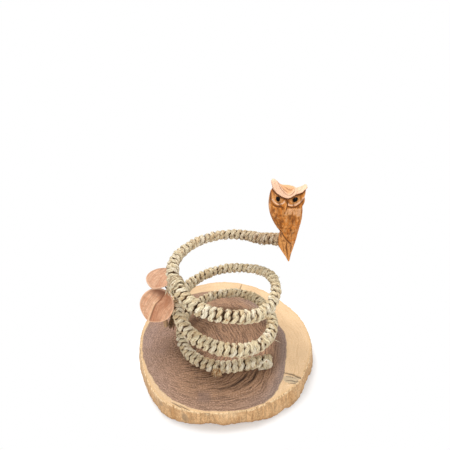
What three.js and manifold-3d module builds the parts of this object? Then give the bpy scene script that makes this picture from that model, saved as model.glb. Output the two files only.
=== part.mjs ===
// Wine bottle holder: a slice of log carries a stiff wire coil bound in fibre rope, and the coil's
// upper end holds a small carved owl. Two carved leaves and a twig sit on the coil's left side.
// Millimetres, +Z up. The origin is on the underside of the slice, under the axis of the coil,
// and the object is meant to be seen along +Y. Turn angles are degrees from +X, clockwise from above,
// counted on through every turn from the rope's tail.
import * as THREE from "three";
import { mergeVertices } from "three/addons/utils/BufferGeometryUtils.js";
import Module from "manifold-3d";

// Gap that separate pieces keep from each other
const CLEARANCE = 0.3;

// The slice of log. A swell pushes its outline out at the top and at the foot of the bark side,
// over a spread of degrees round its direction, which is measured anticlockwise from +X.
const SLAB_THICKNESS = 20;
const SLAB_RADIUS = 101.5;
const SLAB_OFFSET_X = 0.8;
const SLAB_OFFSET_Y = 8.6;
const SLAB_EDGE = 1.2;
const SLAB_SWELLS = [
  { at: -127, spread: 12, top: 5.5, foot: 5 },
  { at: -178, spread: 18, top: -1, foot: 4.3 },
  { at: -146, spread: 12, top: 2, foot: 2.5 },
  { at: -62, spread: 14, top: 1.7, foot: 1.5 },
  { at: -40, spread: 12, top: 2, foot: 2.5 },
  { at: 33, spread: 30, top: -9, foot: -7 },
  { at: 110, spread: 35, top: -3, foot: -2 },
];
const SLAB_SECTORS = 96;

// The rope: a fibre binding wound in ribs round the core wire
const ROPE_DIAMETER = 15;
const ROPE_RIB_PITCH = 7;
const ROPE_RIB_DEPTH = 1.1;
const ROPE_SIDES = 8;
const WIRE_DIAMETER = 4;
const WIRE_PLAY = 0.6;

// The coil: a straight tail on the slab, two and a half climbing turns, and a straight arm.
// The height is what the coil climbs from the slab to the arm.
const COIL_RADIUS = 49.8;
const COIL_HEIGHT = 107.9;
const COIL_START_ANGLE = 80;
const COIL_LIFT_ANGLE = 152;
const COIL_LIFT_EASE = 4;
const COIL_END_ANGLE = 1043;
const TAIL_LENGTH = 42;
const ARM_LENGTH = 35;
const ARM_RISE = 12;
// Places where the stiff coil was pressed down or pushed out by hand, as shares of what it climbs
// in a turn and of its radius
const COIL_SAGS = [
  { at: 407, spread: 47, up: -0.31 },
  { at: 479, spread: 50, up: -0.163 },
  { at: 593, spread: 93, up: -0.131 },
  { at: 700, spread: 24, up: 0.04 },
  { at: 764, spread: 33, up: -0.278 },
  { at: 827, spread: 56, up: -0.254 },
  { at: 905, spread: 26, up: 0.048 },
  { at: 1036, spread: 48, up: -0.061 },
];
const COIL_BULGES = [
  { at: 248, spread: 82, out: 0.032 },
  { at: 379, spread: 34, out: 0.086 },
  { at: 529, spread: 37, out: 0.02 },
  { at: 700, spread: 26, out: 0.045 },
  { at: 734, spread: 31, out: 0.1 },
  { at: 892, spread: 28, out: 0.044 },
];

// Turn angles where one length of binding ends and the next begins
const ROPE_JOINTS = [
  { name: "rope_tail", until: 100 },
  { name: "rope_foot_turn", until: 147 },
  { name: "rope_first_rise", until: 290 },
  { name: "rope_lower_turn", until: 640 },
  { name: "rope_second_rise", until: 777 },
  { name: "rope_upper_front", until: 880 },
  { name: "rope_top_turn", until: Infinity },
];

// The wire's tail end is bent down into the slab, and its other end runs on into the owl
const WIRE_LEG_INSET = 5;
const WIRE_LEG_BEND = 4;
const WIRE_LEG_DEPTH = 12;
const WIRE_OWL_DEPTH = 9;

// U-shaped staples over the wire, in the first two joints of the binding
const STAPLE_WIRE = 1.8;
const STAPLE_DEPTH = 11;
const STAPLE_SIDES = 8;

// The owl: its outline seen from the front, about its own middle, and its depth at some heights.
// They are drawn at OWL_DRAWN_HEIGHT, and so are its brow, beak and eye places.
const OWL_HEIGHT = 86.2;
const OWL_DRAWN_HEIGHT = 86.2;
const OWL_FORWARD = 7.2;
const OWL_RIGHT = 1.9;
const OWL_UP = 30.6;
const OWL_OUTLINE = [
  [14.3, 27.5], [13.5, 22.3], [12.3, 19.5], [13.8, 15], [12.1, 11], [12.8, 3], [12.6, -5],
  [11.4, -13.5], [9.8, -26], [8.4, -34.5], [6.6, -43], [5.1, -52], [1.2, -46], [-3, -39.5],
  [-6.6, -33], [-6.9, -26], [-5.8, -19], [-10.3, -12], [-13.8, -6], [-16.6, 0.5], [-18.4, 8],
  [-18.6, 15], [-17.6, 22.5], [-16.2, 26], [-17.5, 31.6], [-16.1, 34.2], [-12.6, 32.6], [-8.6, 29],
  [-2, 28.1], [3, 26.8], [6, 25.4], [10.4, 26.8], [13.2, 28.4],
];
const OWL_DEPTHS = [
  { up: -52, front: 2.4, back: 2 },
  { up: -36, front: 4.8, back: 4.2 },
  { up: -22, front: 8, back: 7 },
  { up: -2, front: 10.5, back: 9 },
  { up: 16, front: 10.2, back: 9.2 },
  { up: 35, front: 6.5, back: 5.5 },
];
const OWL_ROUNDNESS = 4;
const OWL_RINGS = 5;
const BROW_TOP = [[-15.8, 32.8], [-3.6, 24], [13.8, 27.4]];
const BROW_FOOT = [[-16.2, 28.2], [-3.5, 17.8], [12.4, 22.6]];
const BROW_PROUD = 1.6;
const BROW_BACK = 0.25; // share of the head's depth
const BROW_THICKNESS = 0.7; // share of the head's depth
const BEAK_TOP = [-4, 18.2];
const BEAK_TIP = [-5, 6];
const BEAK_WIDTH = 4.4;
const BEAK_PROUD = 2.6;
const BEAK_SINK = 1.5;
const BEAK_RIDGE_UP = 4;
const BEAK_WIDEST = 0.6; // share of the way down
const EYE_DIAMETER = 4.2;
const EYE_SINK = 0.6;
const EYE_LEFT = [-11.8, 19.4];
const EYE_RIGHT = [3.4, 18.3];

// The leaves: carved plates with a folded midrib. They and the twig fill the space between two
// turns, so they are drawn for a coil that climbs LEAVES_DRAWN_CLIMB in a turn and scale with it.
// Each is placed from what holds it: the lower one by lengths along, across and out from its face
// from the lashing's grip on the twig, the upper one, which has a stalk wire, from its band.
const LEAVES_DRAWN_CLIMB = 43.6;
const LEAF_THICKNESS = 1.8;
const LEAF_FOLD = 2.2;
const LEAF_FOLD_CURVE = 1.3;
const LEAF_POINT = 2.2;
const LEAF_POINT_SHARPNESS = 12;
const LEAF_SECTORS = 28;
const LEAF_RINGS = 4;
const LOWER_LEAF_LENGTH = 40.5;
const LOWER_LEAF_WIDTH = 36.6;
const LOWER_LEAF_FROM_GRIP = [-9, 12.6, 4.19];
const LOWER_LEAF_TIPWARD = [-22, -10, -36];
const LOWER_LEAF_FACING = [-0.1, -0.95, 0.3];
const UPPER_LEAF_LENGTH = 38.5;
const UPPER_LEAF_WIDTH = 35;
const UPPER_LEAF_FROM_BAND = [-19.8, 29.3, -11];
const UPPER_LEAF_TIPWARD = [-7.5, -21, 0];
const UPPER_LEAF_FACING = [-0.05, -0.1, 1];
const STALK_DIAMETER = 1.6;
const STALK_GRIP = 1.2;
const STALK_TURN = 25;
const STALK_ALONG_LEAF = 13;
const STALK_ACROSS_LEAF = -11;
const BAND_PLAY = 0.5;
const BAND_PROUD = 1.5;
const BAND_WIDTH = 8;
const LEAF_BAND_ANGLE = 874;

// The twig behind the lower leaf, and the lashing that ties it to the second turn
const TWIG_DIAMETER = 4.5;
const TWIG_TAPER = 0.8;
const TWIG_BELOW = 11.5;
const TWIG_ABOVE = 36.5;
const TWIG_SIDES = 12;
const TWIG_LEAN = [-8, 15, 47];
const LASHING_ANGLE = 530;
const LASHING_WIDTH = 5;
const LASHING_REACH = 16.2;
const LASHING_DIP = 0.38;

const wasm = await Module();
wasm.setup();
const UP = new THREE.Vector3(0, 0, 1);
const vec = (x, y, z) => new THREE.Vector3(x, y, z);
const radians = THREE.MathUtils.degToRad;

// A smooth hump of height 1 at its middle, which dies away over its spread
function hump(angle, at, spread) {
  return Math.exp(-(((angle - at) / spread) ** 2));
}

// The shortest way round from one direction to another, in degrees
function turnBetween(angle, at) {
  return ((((angle - at + 180) % 360) + 360) % 360) - 180;
}

// A closed mesh through rings of as many points each. It ends in a point at each end, or, where
// the rings close on themselves like a sleeve's, its last ring joins its first.
function skin(rings, closedLoop, firstPoint, lastPoint) {
  const sides = rings[0].length;
  const points = rings.flat();
  const faces = [];
  const links = closedLoop ? rings.length : rings.length - 1;
  for (let r = 0; r < links; r++) {
    const near = r * sides;
    const far = ((r + 1) % rings.length) * sides;
    for (let k = 0; k < sides; k++) {
      const next = (k + 1) % sides;
      faces.push(near + k, near + next, far + next);
      faces.push(near + k, far + next, far + k);
    }
  }
  if (!closedLoop) {
    const first = points.length;
    points.push(firstPoint ?? middleOf(rings[0]), lastPoint ?? middleOf(rings.at(-1)));
    const lastRing = (rings.length - 1) * sides;
    for (let k = 0; k < sides; k++) {
      const next = (k + 1) % sides;
      faces.push(first, next, k);
      faces.push(first + 1, lastRing + k, lastRing + next);
    }
  }
  return facingOut(points, faces);
}

function middleOf(ring) {
  return ring.reduce((sum, p) => sum.add(p), vec(0, 0, 0)).divideScalar(ring.length);
}

// A mesh of points and faces, turned inside out if it encloses a negative volume
function facingOut(points, faces) {
  let volume = 0;
  for (let f = 0; f < faces.length; f += 3) {
    const [a, b, c] = [points[faces[f]], points[faces[f + 1]], points[faces[f + 2]]];
    volume += a.dot(vec(0, 0, 0).crossVectors(b, c));
  }
  const order = volume < 0 ? faces.toReversed() : faces;
  const geometry = new THREE.BufferGeometry().setFromPoints(points);
  return geometry.setIndex(order);
}

// Boolean cuts and joins
function solidOf(geometry) {
  const plain = geometry.clone();
  plain.deleteAttribute("normal");
  plain.deleteAttribute("uv");
  const merged = mergeVertices(plain, 1e-4);
  return new wasm.Manifold(
    new wasm.Mesh({
      numProp: 3,
      vertProperties: merged.attributes.position.array,
      triVerts: new Uint32Array(merged.index.array),
    }),
  );
}

function geometryOf(solid) {
  const mesh = solid.getMesh();
  const geometry = new THREE.BufferGeometry();
  geometry.setAttribute("position", new THREE.BufferAttribute(mesh.vertProperties, 3));
  return geometry.setIndex(new THREE.BufferAttribute(mesh.triVerts, 1));
}

function cut(geometry, ...tools) {
  return geometryOf(tools.reduce((left, tool) => left.subtract(solidOf(tool)), solidOf(geometry)));
}

function join(...geometries) {
  return geometryOf(geometries.map(solidOf).reduce((whole, piece) => whole.add(piece)));
}

// A round rod from one point to another
function rod(from, to, diameter, sides = 12, endDiameter = diameter) {
  const along = to.clone().sub(from);
  const geometry = new THREE.CylinderGeometry(endDiameter / 2, diameter / 2, along.length(), sides);
  const turn = new THREE.Quaternion().setFromUnitVectors(vec(0, 1, 0), along.clone().normalize());
  const middle = from.clone().addScaledVector(along, 0.5);
  return geometry.applyQuaternion(turn).translate(middle.x, middle.y, middle.z);
}

// The coil's route, from its formula

// Distance of the rope's middle from the coil's axis
function coilRadius(angle) {
  const bulge = COIL_BULGES.reduce((sum, b) => sum + b.out * hump(angle, b.at, b.spread), 0);
  return COIL_RADIUS * (1 + bulge);
}

// Height of the rope's middle: flat on the slab, then a steady climb, less the sags
const climb = (COIL_HEIGHT * 360) / (COIL_END_ANGLE - COIL_LIFT_ANGLE);

function coilHeight(angle) {
  const past = (angle - COIL_LIFT_ANGLE) / COIL_LIFT_EASE;
  const climbed = past > 30 ? past : Math.log1p(Math.exp(past));
  const turns = (climbed * COIL_LIFT_EASE) / 360;
  const sag = COIL_SAGS.reduce((sum, s) => sum + s.up * hump(angle, s.at, s.spread), 0);
  const rest = SLAB_THICKNESS + CLEARANCE + ROPE_DIAMETER / 2;
  return rest + climb * (turns + sag);
}

function coilPoint(angle) {
  const direction = radians(-angle);
  const radius = coilRadius(angle);
  return vec(radius * Math.cos(direction), radius * Math.sin(direction), coilHeight(angle));
}

// The way that the coil runs at an angle, clockwise as seen from above
function coilForward(angle) {
  const direction = radians(-angle);
  return vec(Math.sin(direction), -Math.cos(direction), 0);
}

// The whole route as closely spaced points, with the turn angle that each stands for
function makeRoute() {
  const points = [];
  const angles = [];
  const tailStep = coilForward(COIL_START_ANGLE);
  const tailFoot = coilPoint(COIL_START_ANGLE);
  for (let k = 0; k < 20; k++) {
    points.push(tailFoot.clone().addScaledVector(tailStep, -TAIL_LENGTH * (1 - k / 20)));
    angles.push(COIL_START_ANGLE);
  }
  for (let angle = COIL_START_ANGLE; angle < COIL_END_ANGLE; angle += 1) {
    points.push(coilPoint(angle));
    angles.push(angle);
  }
  const armFoot = coilPoint(COIL_END_ANGLE);
  const armRun = Math.sqrt(ARM_LENGTH ** 2 - ARM_RISE ** 2);
  const armStep = coilForward(COIL_END_ANGLE).multiplyScalar(armRun).addScaledVector(UP, ARM_RISE);
  for (let k = 0; k <= 10; k++) {
    points.push(armFoot.clone().addScaledVector(armStep, k / 10));
    angles.push(COIL_END_ANGLE + k / 10);
  }
  const lengths = [0];
  for (let k = 1; k < points.length; k++) {
    lengths.push(lengths[k - 1] + points[k].distanceTo(points[k - 1]));
  }
  return { points, angles, lengths, total: lengths.at(-1) };
}

const route = makeRoute();

function routePoint(length) {
  const { points, lengths } = route;
  let k = lengths.findIndex((l) => l >= length);
  k = k < 1 ? (k === 0 ? 1 : points.length - 1) : k;
  const share = (length - lengths[k - 1]) / (lengths[k] - lengths[k - 1]);
  return points[k - 1].clone().lerp(points[k], share);
}

function lengthAtAngle(angle) {
  const k = route.angles.findIndex((a) => a >= angle);
  return k < 0 ? route.total : route.lengths[k];
}

// Stations every half rib along the route. A rope's sections change at every fourth station.
const RIBS = 2 * Math.round(route.total / ROPE_RIB_PITCH / 2);
const HALF_RIB = route.total / RIBS / 2;
const BORE_STEP = 4;

// The place, direction, side and upper side of the rope at a length along it
function frameAt(length) {
  const middle = routePoint(length);
  const reach = HALF_RIB / 2;
  const ahead = routePoint(Math.min(length + reach, route.total));
  const behind = routePoint(Math.max(length - reach, 0));
  const along = ahead.sub(behind).normalize();
  const side = vec(0, 0, 0).crossVectors(along, UP).normalize();
  return { middle, along, side, above: vec(0, 0, 0).crossVectors(side, along) };
}

function ringAt(frame, radius, sides) {
  return Array.from({ length: sides }, (_, k) => {
    const turn = (2 * Math.PI * k) / sides;
    return frame.middle
      .clone()
      .addScaledVector(frame.side, radius * Math.sin(turn))
      .addScaledVector(frame.above, -radius * Math.cos(turn));
  });
}

// One length of the binding: ribs outside, and a bore for the core wire
function ropeSection(fromStation, toStation, fromGap, toGap) {
  const outer = [];
  for (let k = fromStation; k <= toStation; k++) {
    const inset = k === fromStation ? fromGap : k === toStation ? -toGap : 0;
    const radius = ROPE_DIAMETER / 2 - (k % 2 ? 0 : ROPE_RIB_DEPTH);
    outer.push(ringAt(frameAt(k * HALF_RIB + inset), radius, ROPE_SIDES));
  }
  const bore = [];
  for (let k = fromStation; k <= toStation; k += BORE_STEP) {
    const inset = k === fromStation ? fromGap : k === toStation ? -toGap : 0;
    bore.push(ringAt(frameAt(k * HALF_RIB + inset), WIRE_DIAMETER / 2 + WIRE_PLAY, ROPE_SIDES));
  }
  return skin([...outer, ...bore.toReversed()], true);
}

// Round tube of one diameter through a list of points, its frame carried along without twist
function tubeThrough(points, diameter, sides) {
  const last = points.length - 1;
  let side = null;
  const rings = points.map((point, k) => {
    const along = points[Math.min(k + 1, last)].clone().sub(points[Math.max(k - 1, 0)]).normalize();
    const guide = side ?? vec(0, 0, 0).crossVectors(along, vec(0.3, 0.9, 0.1));
    side = guide.clone().addScaledVector(along, -guide.dot(along)).normalize();
    return ringAt(
      { middle: point, side, above: vec(0, 0, 0).crossVectors(side, along) },
      diameter / 2,
      sides,
    );
  });
  return skin(rings, false);
}

// The binding's sections, as stations along the route
function ropeStations() {
  let from = 0;
  return ROPE_JOINTS.map(({ name, until }) => {
    const units = Math.round(lengthAtAngle(until) / (BORE_STEP * HALF_RIB));
    const to = until === Infinity ? RIBS * 2 : BORE_STEP * units;
    const section = { name, from, to };
    from = to;
    return section;
  });
}

const sections = ropeStations();
const stapleStations = [sections[0].to, sections[1].to];

// Half of the gap that a joint of the binding leaves, wider where a staple stands in it
function jointGap(station) {
  return stapleStations.includes(station) ? STAPLE_WIRE / 2 + CLEARANCE : CLEARANCE / 2;
}

// The core wire
const wireLegFrame = frameAt(WIRE_LEG_INSET);

function coreWirePoints() {
  const { middle, along } = wireLegFrame;
  const legTop = middle.clone().addScaledVector(UP, -WIRE_LEG_BEND);
  const points = [vec(middle.x, middle.y, SLAB_THICKNESS - WIRE_LEG_DEPTH), legTop];
  const bendMiddle = legTop.clone().addScaledVector(along, WIRE_LEG_BEND);
  for (let k = 1; k <= 4; k++) {
    const turn = (Math.PI / 2) * (k / 4);
    points.push(
      bendMiddle
        .clone()
        .addScaledVector(along, -WIRE_LEG_BEND * Math.cos(turn))
        .addScaledVector(UP, WIRE_LEG_BEND * Math.sin(turn)),
    );
  }
  for (let k = BORE_STEP; k <= RIBS * 2; k += BORE_STEP) {
    points.push(frameAt(k * HALF_RIB).middle);
  }
  const end = frameAt(route.total);
  points.push(end.middle.clone().addScaledVector(end.along, WIRE_OWL_DEPTH));
  return points;
}

function coreWire() {
  return tubeThrough(coreWirePoints(), WIRE_DIAMETER, ROPE_SIDES);
}

// Room under the rope's tail for the wire's bent leg
function legSlot() {
  const width = WIRE_DIAMETER + 2 * WIRE_PLAY;
  const length = WIRE_DIAMETER + WIRE_LEG_BEND + 2 * WIRE_PLAY;
  const { middle, along } = wireLegFrame;
  const slot = new THREE.BoxGeometry(length, width, ROPE_DIAMETER);
  const centre = middle.clone().addScaledVector(along, (WIRE_LEG_BEND + WIRE_PLAY) / 2);
  slot.rotateZ(Math.atan2(along.y, along.x));
  return slot.translate(centre.x, centre.y, centre.z - ROPE_DIAMETER / 2);
}

// A staple: two legs in the slab and a round crown over the core wire
function staplePoints(station) {
  const { middle, side } = frameAt(station * HALF_RIB);
  const spread = WIRE_DIAMETER / 2 + CLEARANCE + STAPLE_WIRE / 2;
  const foot = SLAB_THICKNESS - STAPLE_DEPTH;
  const level = (across, height) =>
    vec(middle.x + side.x * across, middle.y + side.y * across, height);
  const points = [level(-spread, foot), level(-spread, middle.z)];
  for (let k = 1; k < 6; k++) {
    const turn = Math.PI * (k / 6);
    points.push(level(-spread * Math.cos(turn), middle.z + spread * Math.sin(turn)));
  }
  points.push(level(spread, middle.z), level(spread, foot));
  return points;
}

// The slab
function slabRadius(angle, level) {
  return SLAB_SWELLS.reduce((radius, swell) => {
    const size = hump(turnBetween(angle, swell.at), 0, swell.spread);
    return radius + size * (swell.foot + (swell.top - swell.foot) * level);
  }, SLAB_RADIUS);
}

function slabBlank() {
  const rim = SLAB_EDGE / 3;
  const heights = [0, rim, SLAB_EDGE, SLAB_THICKNESS / 2, SLAB_THICKNESS - SLAB_EDGE];
  heights.push(SLAB_THICKNESS - rim, SLAB_THICKNESS);
  const insets = [SLAB_EDGE, rim, 0, 0, 0, rim, SLAB_EDGE];
  const rings = heights.map((height, h) =>
    Array.from({ length: SLAB_SECTORS }, (_, k) => {
      const angle = (360 * k) / SLAB_SECTORS;
      const radius = slabRadius(angle, height / SLAB_THICKNESS) - insets[h];
      const x = SLAB_OFFSET_X + radius * Math.cos(radians(angle));
      return vec(x, SLAB_OFFSET_Y + radius * Math.sin(radians(angle)), height);
    }),
  );
  const foot = vec(SLAB_OFFSET_X, SLAB_OFFSET_Y, 0);
  const top = vec(SLAB_OFFSET_X, SLAB_OFFSET_Y, SLAB_THICKNESS);
  return skin(rings, false, foot, top);
}

// A drilled hole in the slab's top, clear of what stands in it
function slabHole(point, diameter, depth) {
  const bottom = vec(point.x, point.y, SLAB_THICKNESS - depth - CLEARANCE);
  const top = vec(point.x, point.y, SLAB_THICKNESS + 1);
  return rod(bottom, top, diameter + 2 * CLEARANCE);
}

function baseSlab() {
  const holes = [slabHole(wireLegFrame.middle, WIRE_DIAMETER, WIRE_LEG_DEPTH)];
  for (const station of stapleStations) {
    const points = staplePoints(station);
    holes.push(slabHole(points[0], STAPLE_WIRE, STAPLE_DEPTH));
    holes.push(slabHole(points.at(-1), STAPLE_WIRE, STAPLE_DEPTH));
  }
  return cut(slabBlank(), ...holes);
}

// The owl stands in front of the arm's end, and its outline is drawn about its middle
const owlScale = OWL_HEIGHT / OWL_DRAWN_HEIGHT;
const armEnd = frameAt(route.total);
const owlMiddle = armEnd.middle.clone().add(vec(OWL_RIGHT, -OWL_FORWARD, OWL_UP));
const owlCurve = new THREE.CatmullRomCurve3(
  OWL_OUTLINE.map(([x, z]) => vec(x * owlScale, 0, z * owlScale)),
  true,
);

// How deep the owl is at a height over its middle, before its edge rounds it off
function owlDepth(height, face) {
  const up = height / owlScale;
  const above = OWL_DEPTHS.findIndex((d) => d.up >= up);
  if (above < 1) {
    return OWL_DEPTHS.at(above === 0 ? 0 : -1)[face] * owlScale;
  }
  const [low, high] = [OWL_DEPTHS[above - 1], OWL_DEPTHS[above]];
  const share = THREE.MathUtils.smoothstep(up, low.up, high.up);
  return (low[face] + (high[face] - low[face]) * share) * owlScale;
}

// The outline drawn in to a share of its size, and carried forward or back to the surface there
function owlRing(share, face) {
  const outline = owlCurve.getPoints(2 * OWL_OUTLINE.length).slice(0, -1);
  const rounding = Math.sqrt(1 - share ** OWL_ROUNDNESS);
  const sign = face === "front" ? -1 : 1;
  return outline.map((p) => {
    const [x, z] = [p.x * share, p.z * share];
    const y = sign * owlDepth(z, face) * rounding;
    return vec(x, y, z).add(owlMiddle);
  });
}

// The owl's front at a drawn place of its face, near its middle where the edge doesn't round it
function owlFront([x, z], proud = 0) {
  const up = z * owlScale;
  return owlMiddle.clone().add(vec(x * owlScale, -owlDepth(up, "front") - proud, up));
}

function owlBlank() {
  const shares = Array.from({ length: OWL_RINGS }, (_, k) => Math.sin(((k + 1) / OWL_RINGS) * 1.45));
  const front = shares.map((share) => owlRing(share, "front"));
  const back = shares.map((share) => owlRing(share, "back")).toReversed();
  const top = owlMiddle.clone().add(vec(0, -owlDepth(0, "front"), 0));
  const bottom = owlMiddle.clone().add(vec(0, owlDepth(0, "back"), 0));
  return skin([...front, owlRing(1, "front"), ...back], false, top, bottom);
}

// The heavy brow: a V-shaped bar from ear to ear, sunk in the head
function owlBrow() {
  const shape = new THREE.Shape();
  const edge = [...BROW_TOP, ...BROW_FOOT.toReversed()];
  shape.setFromPoints(edge.map(([x, z]) => new THREE.Vector2(x * owlScale, z * owlScale)));
  const depth = owlDepth(BROW_TOP[1][1] * owlScale, "front");
  const options = { depth: depth * BROW_THICKNESS, bevelEnabled: false };
  const bar = new THREE.ExtrudeGeometry(shape, options);
  bar.rotateX(Math.PI / 2);
  const back = owlMiddle.y - BROW_PROUD - depth * BROW_BACK;
  return bar.translate(owlMiddle.x, back, owlMiddle.z);
}

// The beak: a wedge that stands out most at its foot
function owlBeak() {
  const top = owlFront(BEAK_TOP, -BEAK_SINK);
  const tip = owlFront(BEAK_TIP, -BEAK_SINK);
  const ridge = owlFront([BEAK_TIP[0], BEAK_TIP[1] + BEAK_RIDGE_UP], BEAK_PROUD);
  const half = vec(BEAK_WIDTH / 2, 0, 0);
  const widest = top.clone().lerp(tip, BEAK_WIDEST);
  const left = widest.clone().sub(half);
  const right = widest.clone().add(half);
  const back = widest.clone().add(vec(0, BEAK_PROUD, 0));
  return skin([[left, ridge, right, back]], false, top, tip);
}

function eyeMiddle(place) {
  return owlFront(place, EYE_SINK - EYE_DIAMETER / 2);
}

function eyeSocket(place) {
  const middle = eyeMiddle(place);
  const diameter = EYE_DIAMETER + 2 * CLEARANCE;
  const socket = new THREE.SphereGeometry(diameter / 2, 16, 10);
  socket.translate(middle.x, middle.y, middle.z);
  return join(socket, rod(middle, middle.clone().add(vec(0, -EYE_DIAMETER * 2, 0)), diameter, 16));
}

// Room in the owl's back for the rope's end, and a hole for the wire that runs on into it
function armNotch() {
  const { middle, along } = armEnd;
  const far = middle.clone().addScaledVector(along, -ARM_LENGTH);
  const seat = middle.clone().addScaledVector(along, CLEARANCE);
  const wireEnd = middle.clone().addScaledVector(along, WIRE_OWL_DEPTH + CLEARANCE);
  const notch = rod(far, seat, ROPE_DIAMETER + 2 * CLEARANCE, 16);
  return join(notch, rod(far, wireEnd, WIRE_DIAMETER + 2 * CLEARANCE));
}

function owlBody() {
  const carved = join(owlBlank(), owlBrow(), owlBeak());
  return cut(carved, armNotch(), eyeSocket(EYE_LEFT), eyeSocket(EYE_RIGHT));
}

function eyeBead(place) {
  const middle = eyeMiddle(place);
  return new THREE.SphereGeometry(EYE_DIAMETER / 2, 16, 10).translate(middle.x, middle.y, middle.z);
}

// A leaf: a rounded outline that comes to a point at its tip, folded along its midrib
function leafFrame(middle, tipward, facing) {
  const along = tipward.clone().normalize();
  const side = vec(0, 0, 0).crossVectors(along, facing).normalize();
  return { middle, along, side, out: vec(0, 0, 0).crossVectors(side, along) };
}

function leafPoint(leaf, share, turn, lift) {
  const point = LEAF_POINT * (Math.max(0, Math.cos(turn)) ** LEAF_POINT_SHARPNESS - 0.5);
  const lengthwise = share * ((leaf.length / 2 - LEAF_POINT / 2) * Math.cos(turn) + point);
  const across = (leaf.width / 2) * share * Math.sin(turn);
  const fold = LEAF_FOLD * (Math.abs(across) / (leaf.width / 2)) ** LEAF_FOLD_CURVE;
  return leaf.middle
    .clone()
    .addScaledVector(leaf.along, lengthwise)
    .addScaledVector(leaf.side, across)
    .addScaledVector(leaf.out, fold + lift);
}

function leafBlank(leaf) {
  const ring = (share, lift) =>
    Array.from({ length: LEAF_SECTORS }, (_, k) =>
      leafPoint(leaf, share, (2 * Math.PI * k) / LEAF_SECTORS, lift),
    );
  const shares = Array.from({ length: LEAF_RINGS }, (_, k) => (k + 1) / LEAF_RINGS);
  const face = shares.map((share) => ring(share, LEAF_THICKNESS / 2));
  const back = shares.map((share) => ring(share, -LEAF_THICKNESS / 2)).toReversed();
  const facePole = leafPoint(leaf, 0, 0, LEAF_THICKNESS / 2);
  const backPole = leafPoint(leaf, 0, 0, -LEAF_THICKNESS / 2);
  return skin([...face, ...back], false, facePole, backPole);
}

// The binding band round the top turn, which grips the upper leaf's stalk
const bandFrame = frameAt(lengthAtAngle(LEAF_BAND_ANGLE));
const BAND_RADIUS = ROPE_DIAMETER / 2 + BAND_PLAY;

function bandRound(frame, width) {
  const shifted = (shift) => ({
    ...frame,
    middle: frame.middle.clone().addScaledVector(frame.along, shift),
  });
  const [near, far] = [shifted(-width / 2), shifted(width / 2)];
  const [thin, thick] = [BAND_RADIUS + BAND_PROUD * 0.5, BAND_RADIUS + BAND_PROUD];
  const rings = [
    ringAt(near, BAND_RADIUS, 16),
    ringAt(near, thin, 16),
    ringAt(shifted(-width / 4), thick, 16),
    ringAt(shifted(width / 4), thick, 16),
    ringAt(far, thin, 16),
    ringAt(far, BAND_RADIUS, 16),
  ];
  return skin(rings, true);
}

// A place on the band, at a turn of degrees outwards from straight down
function bandPlace(turn, shift, radius) {
  const outwards = bandFrame.side.clone().multiplyScalar(bandFrame.side.x < 0 ? 1 : -1);
  return bandFrame.middle
    .clone()
    .addScaledVector(bandFrame.along, shift)
    .addScaledVector(outwards, radius * Math.sin(radians(turn)))
    .addScaledVector(bandFrame.above, -radius * Math.cos(radians(turn)));
}

// The stalk runs from a hole in the upper leaf up into the underside of the band
function stalkEnds() {
  const grip = bandPlace(STALK_TURN, 0, BAND_RADIUS + BAND_PROUD - STALK_GRIP);
  const root = upperLeaf.middle
    .clone()
    .addScaledVector(upperLeaf.along, STALK_ALONG_LEAF)
    .addScaledVector(upperLeaf.side, STALK_ACROSS_LEAF);
  return { root, grip };
}

function stalkHole({ root, grip }) {
  const along = grip.clone().sub(root).normalize();
  const far = grip.clone().addScaledVector(along, CLEARANCE);
  const near = root.clone().addScaledVector(along, -CLEARANCE);
  return rod(near, far, STALK_DIAMETER + 2 * CLEARANCE);
}

// The lashing and the twig that it holds
const lashingFrame = frameAt(lengthAtAngle(LASHING_ANGLE));
const twigLean = vec(...TWIG_LEAN).normalize();

function lashingOutwards() {
  const out = vec(lashingFrame.middle.x, lashingFrame.middle.y, 0).normalize();
  return out.addScaledVector(UP, -LASHING_DIP).normalize();
}

// Where the lashing grips the twig
const twigGrip = lashingFrame.middle.clone().addScaledVector(lashingOutwards(), LASHING_REACH);

const leafScale = climb / LEAVES_DRAWN_CLIMB;
const [alongGrip, acrossGrip, outFromGrip] = LOWER_LEAF_FROM_GRIP;
const lowerLeaf = {
  ...leafFrame(twigGrip.clone(), vec(...LOWER_LEAF_TIPWARD), vec(...LOWER_LEAF_FACING)),
  length: LOWER_LEAF_LENGTH * leafScale,
  width: LOWER_LEAF_WIDTH * leafScale,
};
lowerLeaf.middle
  .addScaledVector(lowerLeaf.along, alongGrip * leafScale)
  .addScaledVector(lowerLeaf.side, acrossGrip * leafScale)
  .addScaledVector(lowerLeaf.out, outFromGrip);
const upperLeafMiddle = bandFrame.middle.clone().add(vec(...UPPER_LEAF_FROM_BAND));
const upperLeaf = {
  ...leafFrame(upperLeafMiddle, vec(...UPPER_LEAF_TIPWARD), vec(...UPPER_LEAF_FACING)),
  length: UPPER_LEAF_LENGTH * leafScale,
  width: UPPER_LEAF_WIDTH * leafScale,
};
const stalk = stalkEnds();

function twigPoint(along) {
  return twigGrip.clone().addScaledVector(twigLean, along);
}

function twig() {
  const foot = twigPoint(-TWIG_BELOW * leafScale);
  const top = twigPoint(TWIG_ABOVE * leafScale);
  return rod(foot, top, TWIG_DIAMETER, TWIG_SIDES, TWIG_DIAMETER * TWIG_TAPER);
}

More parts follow.
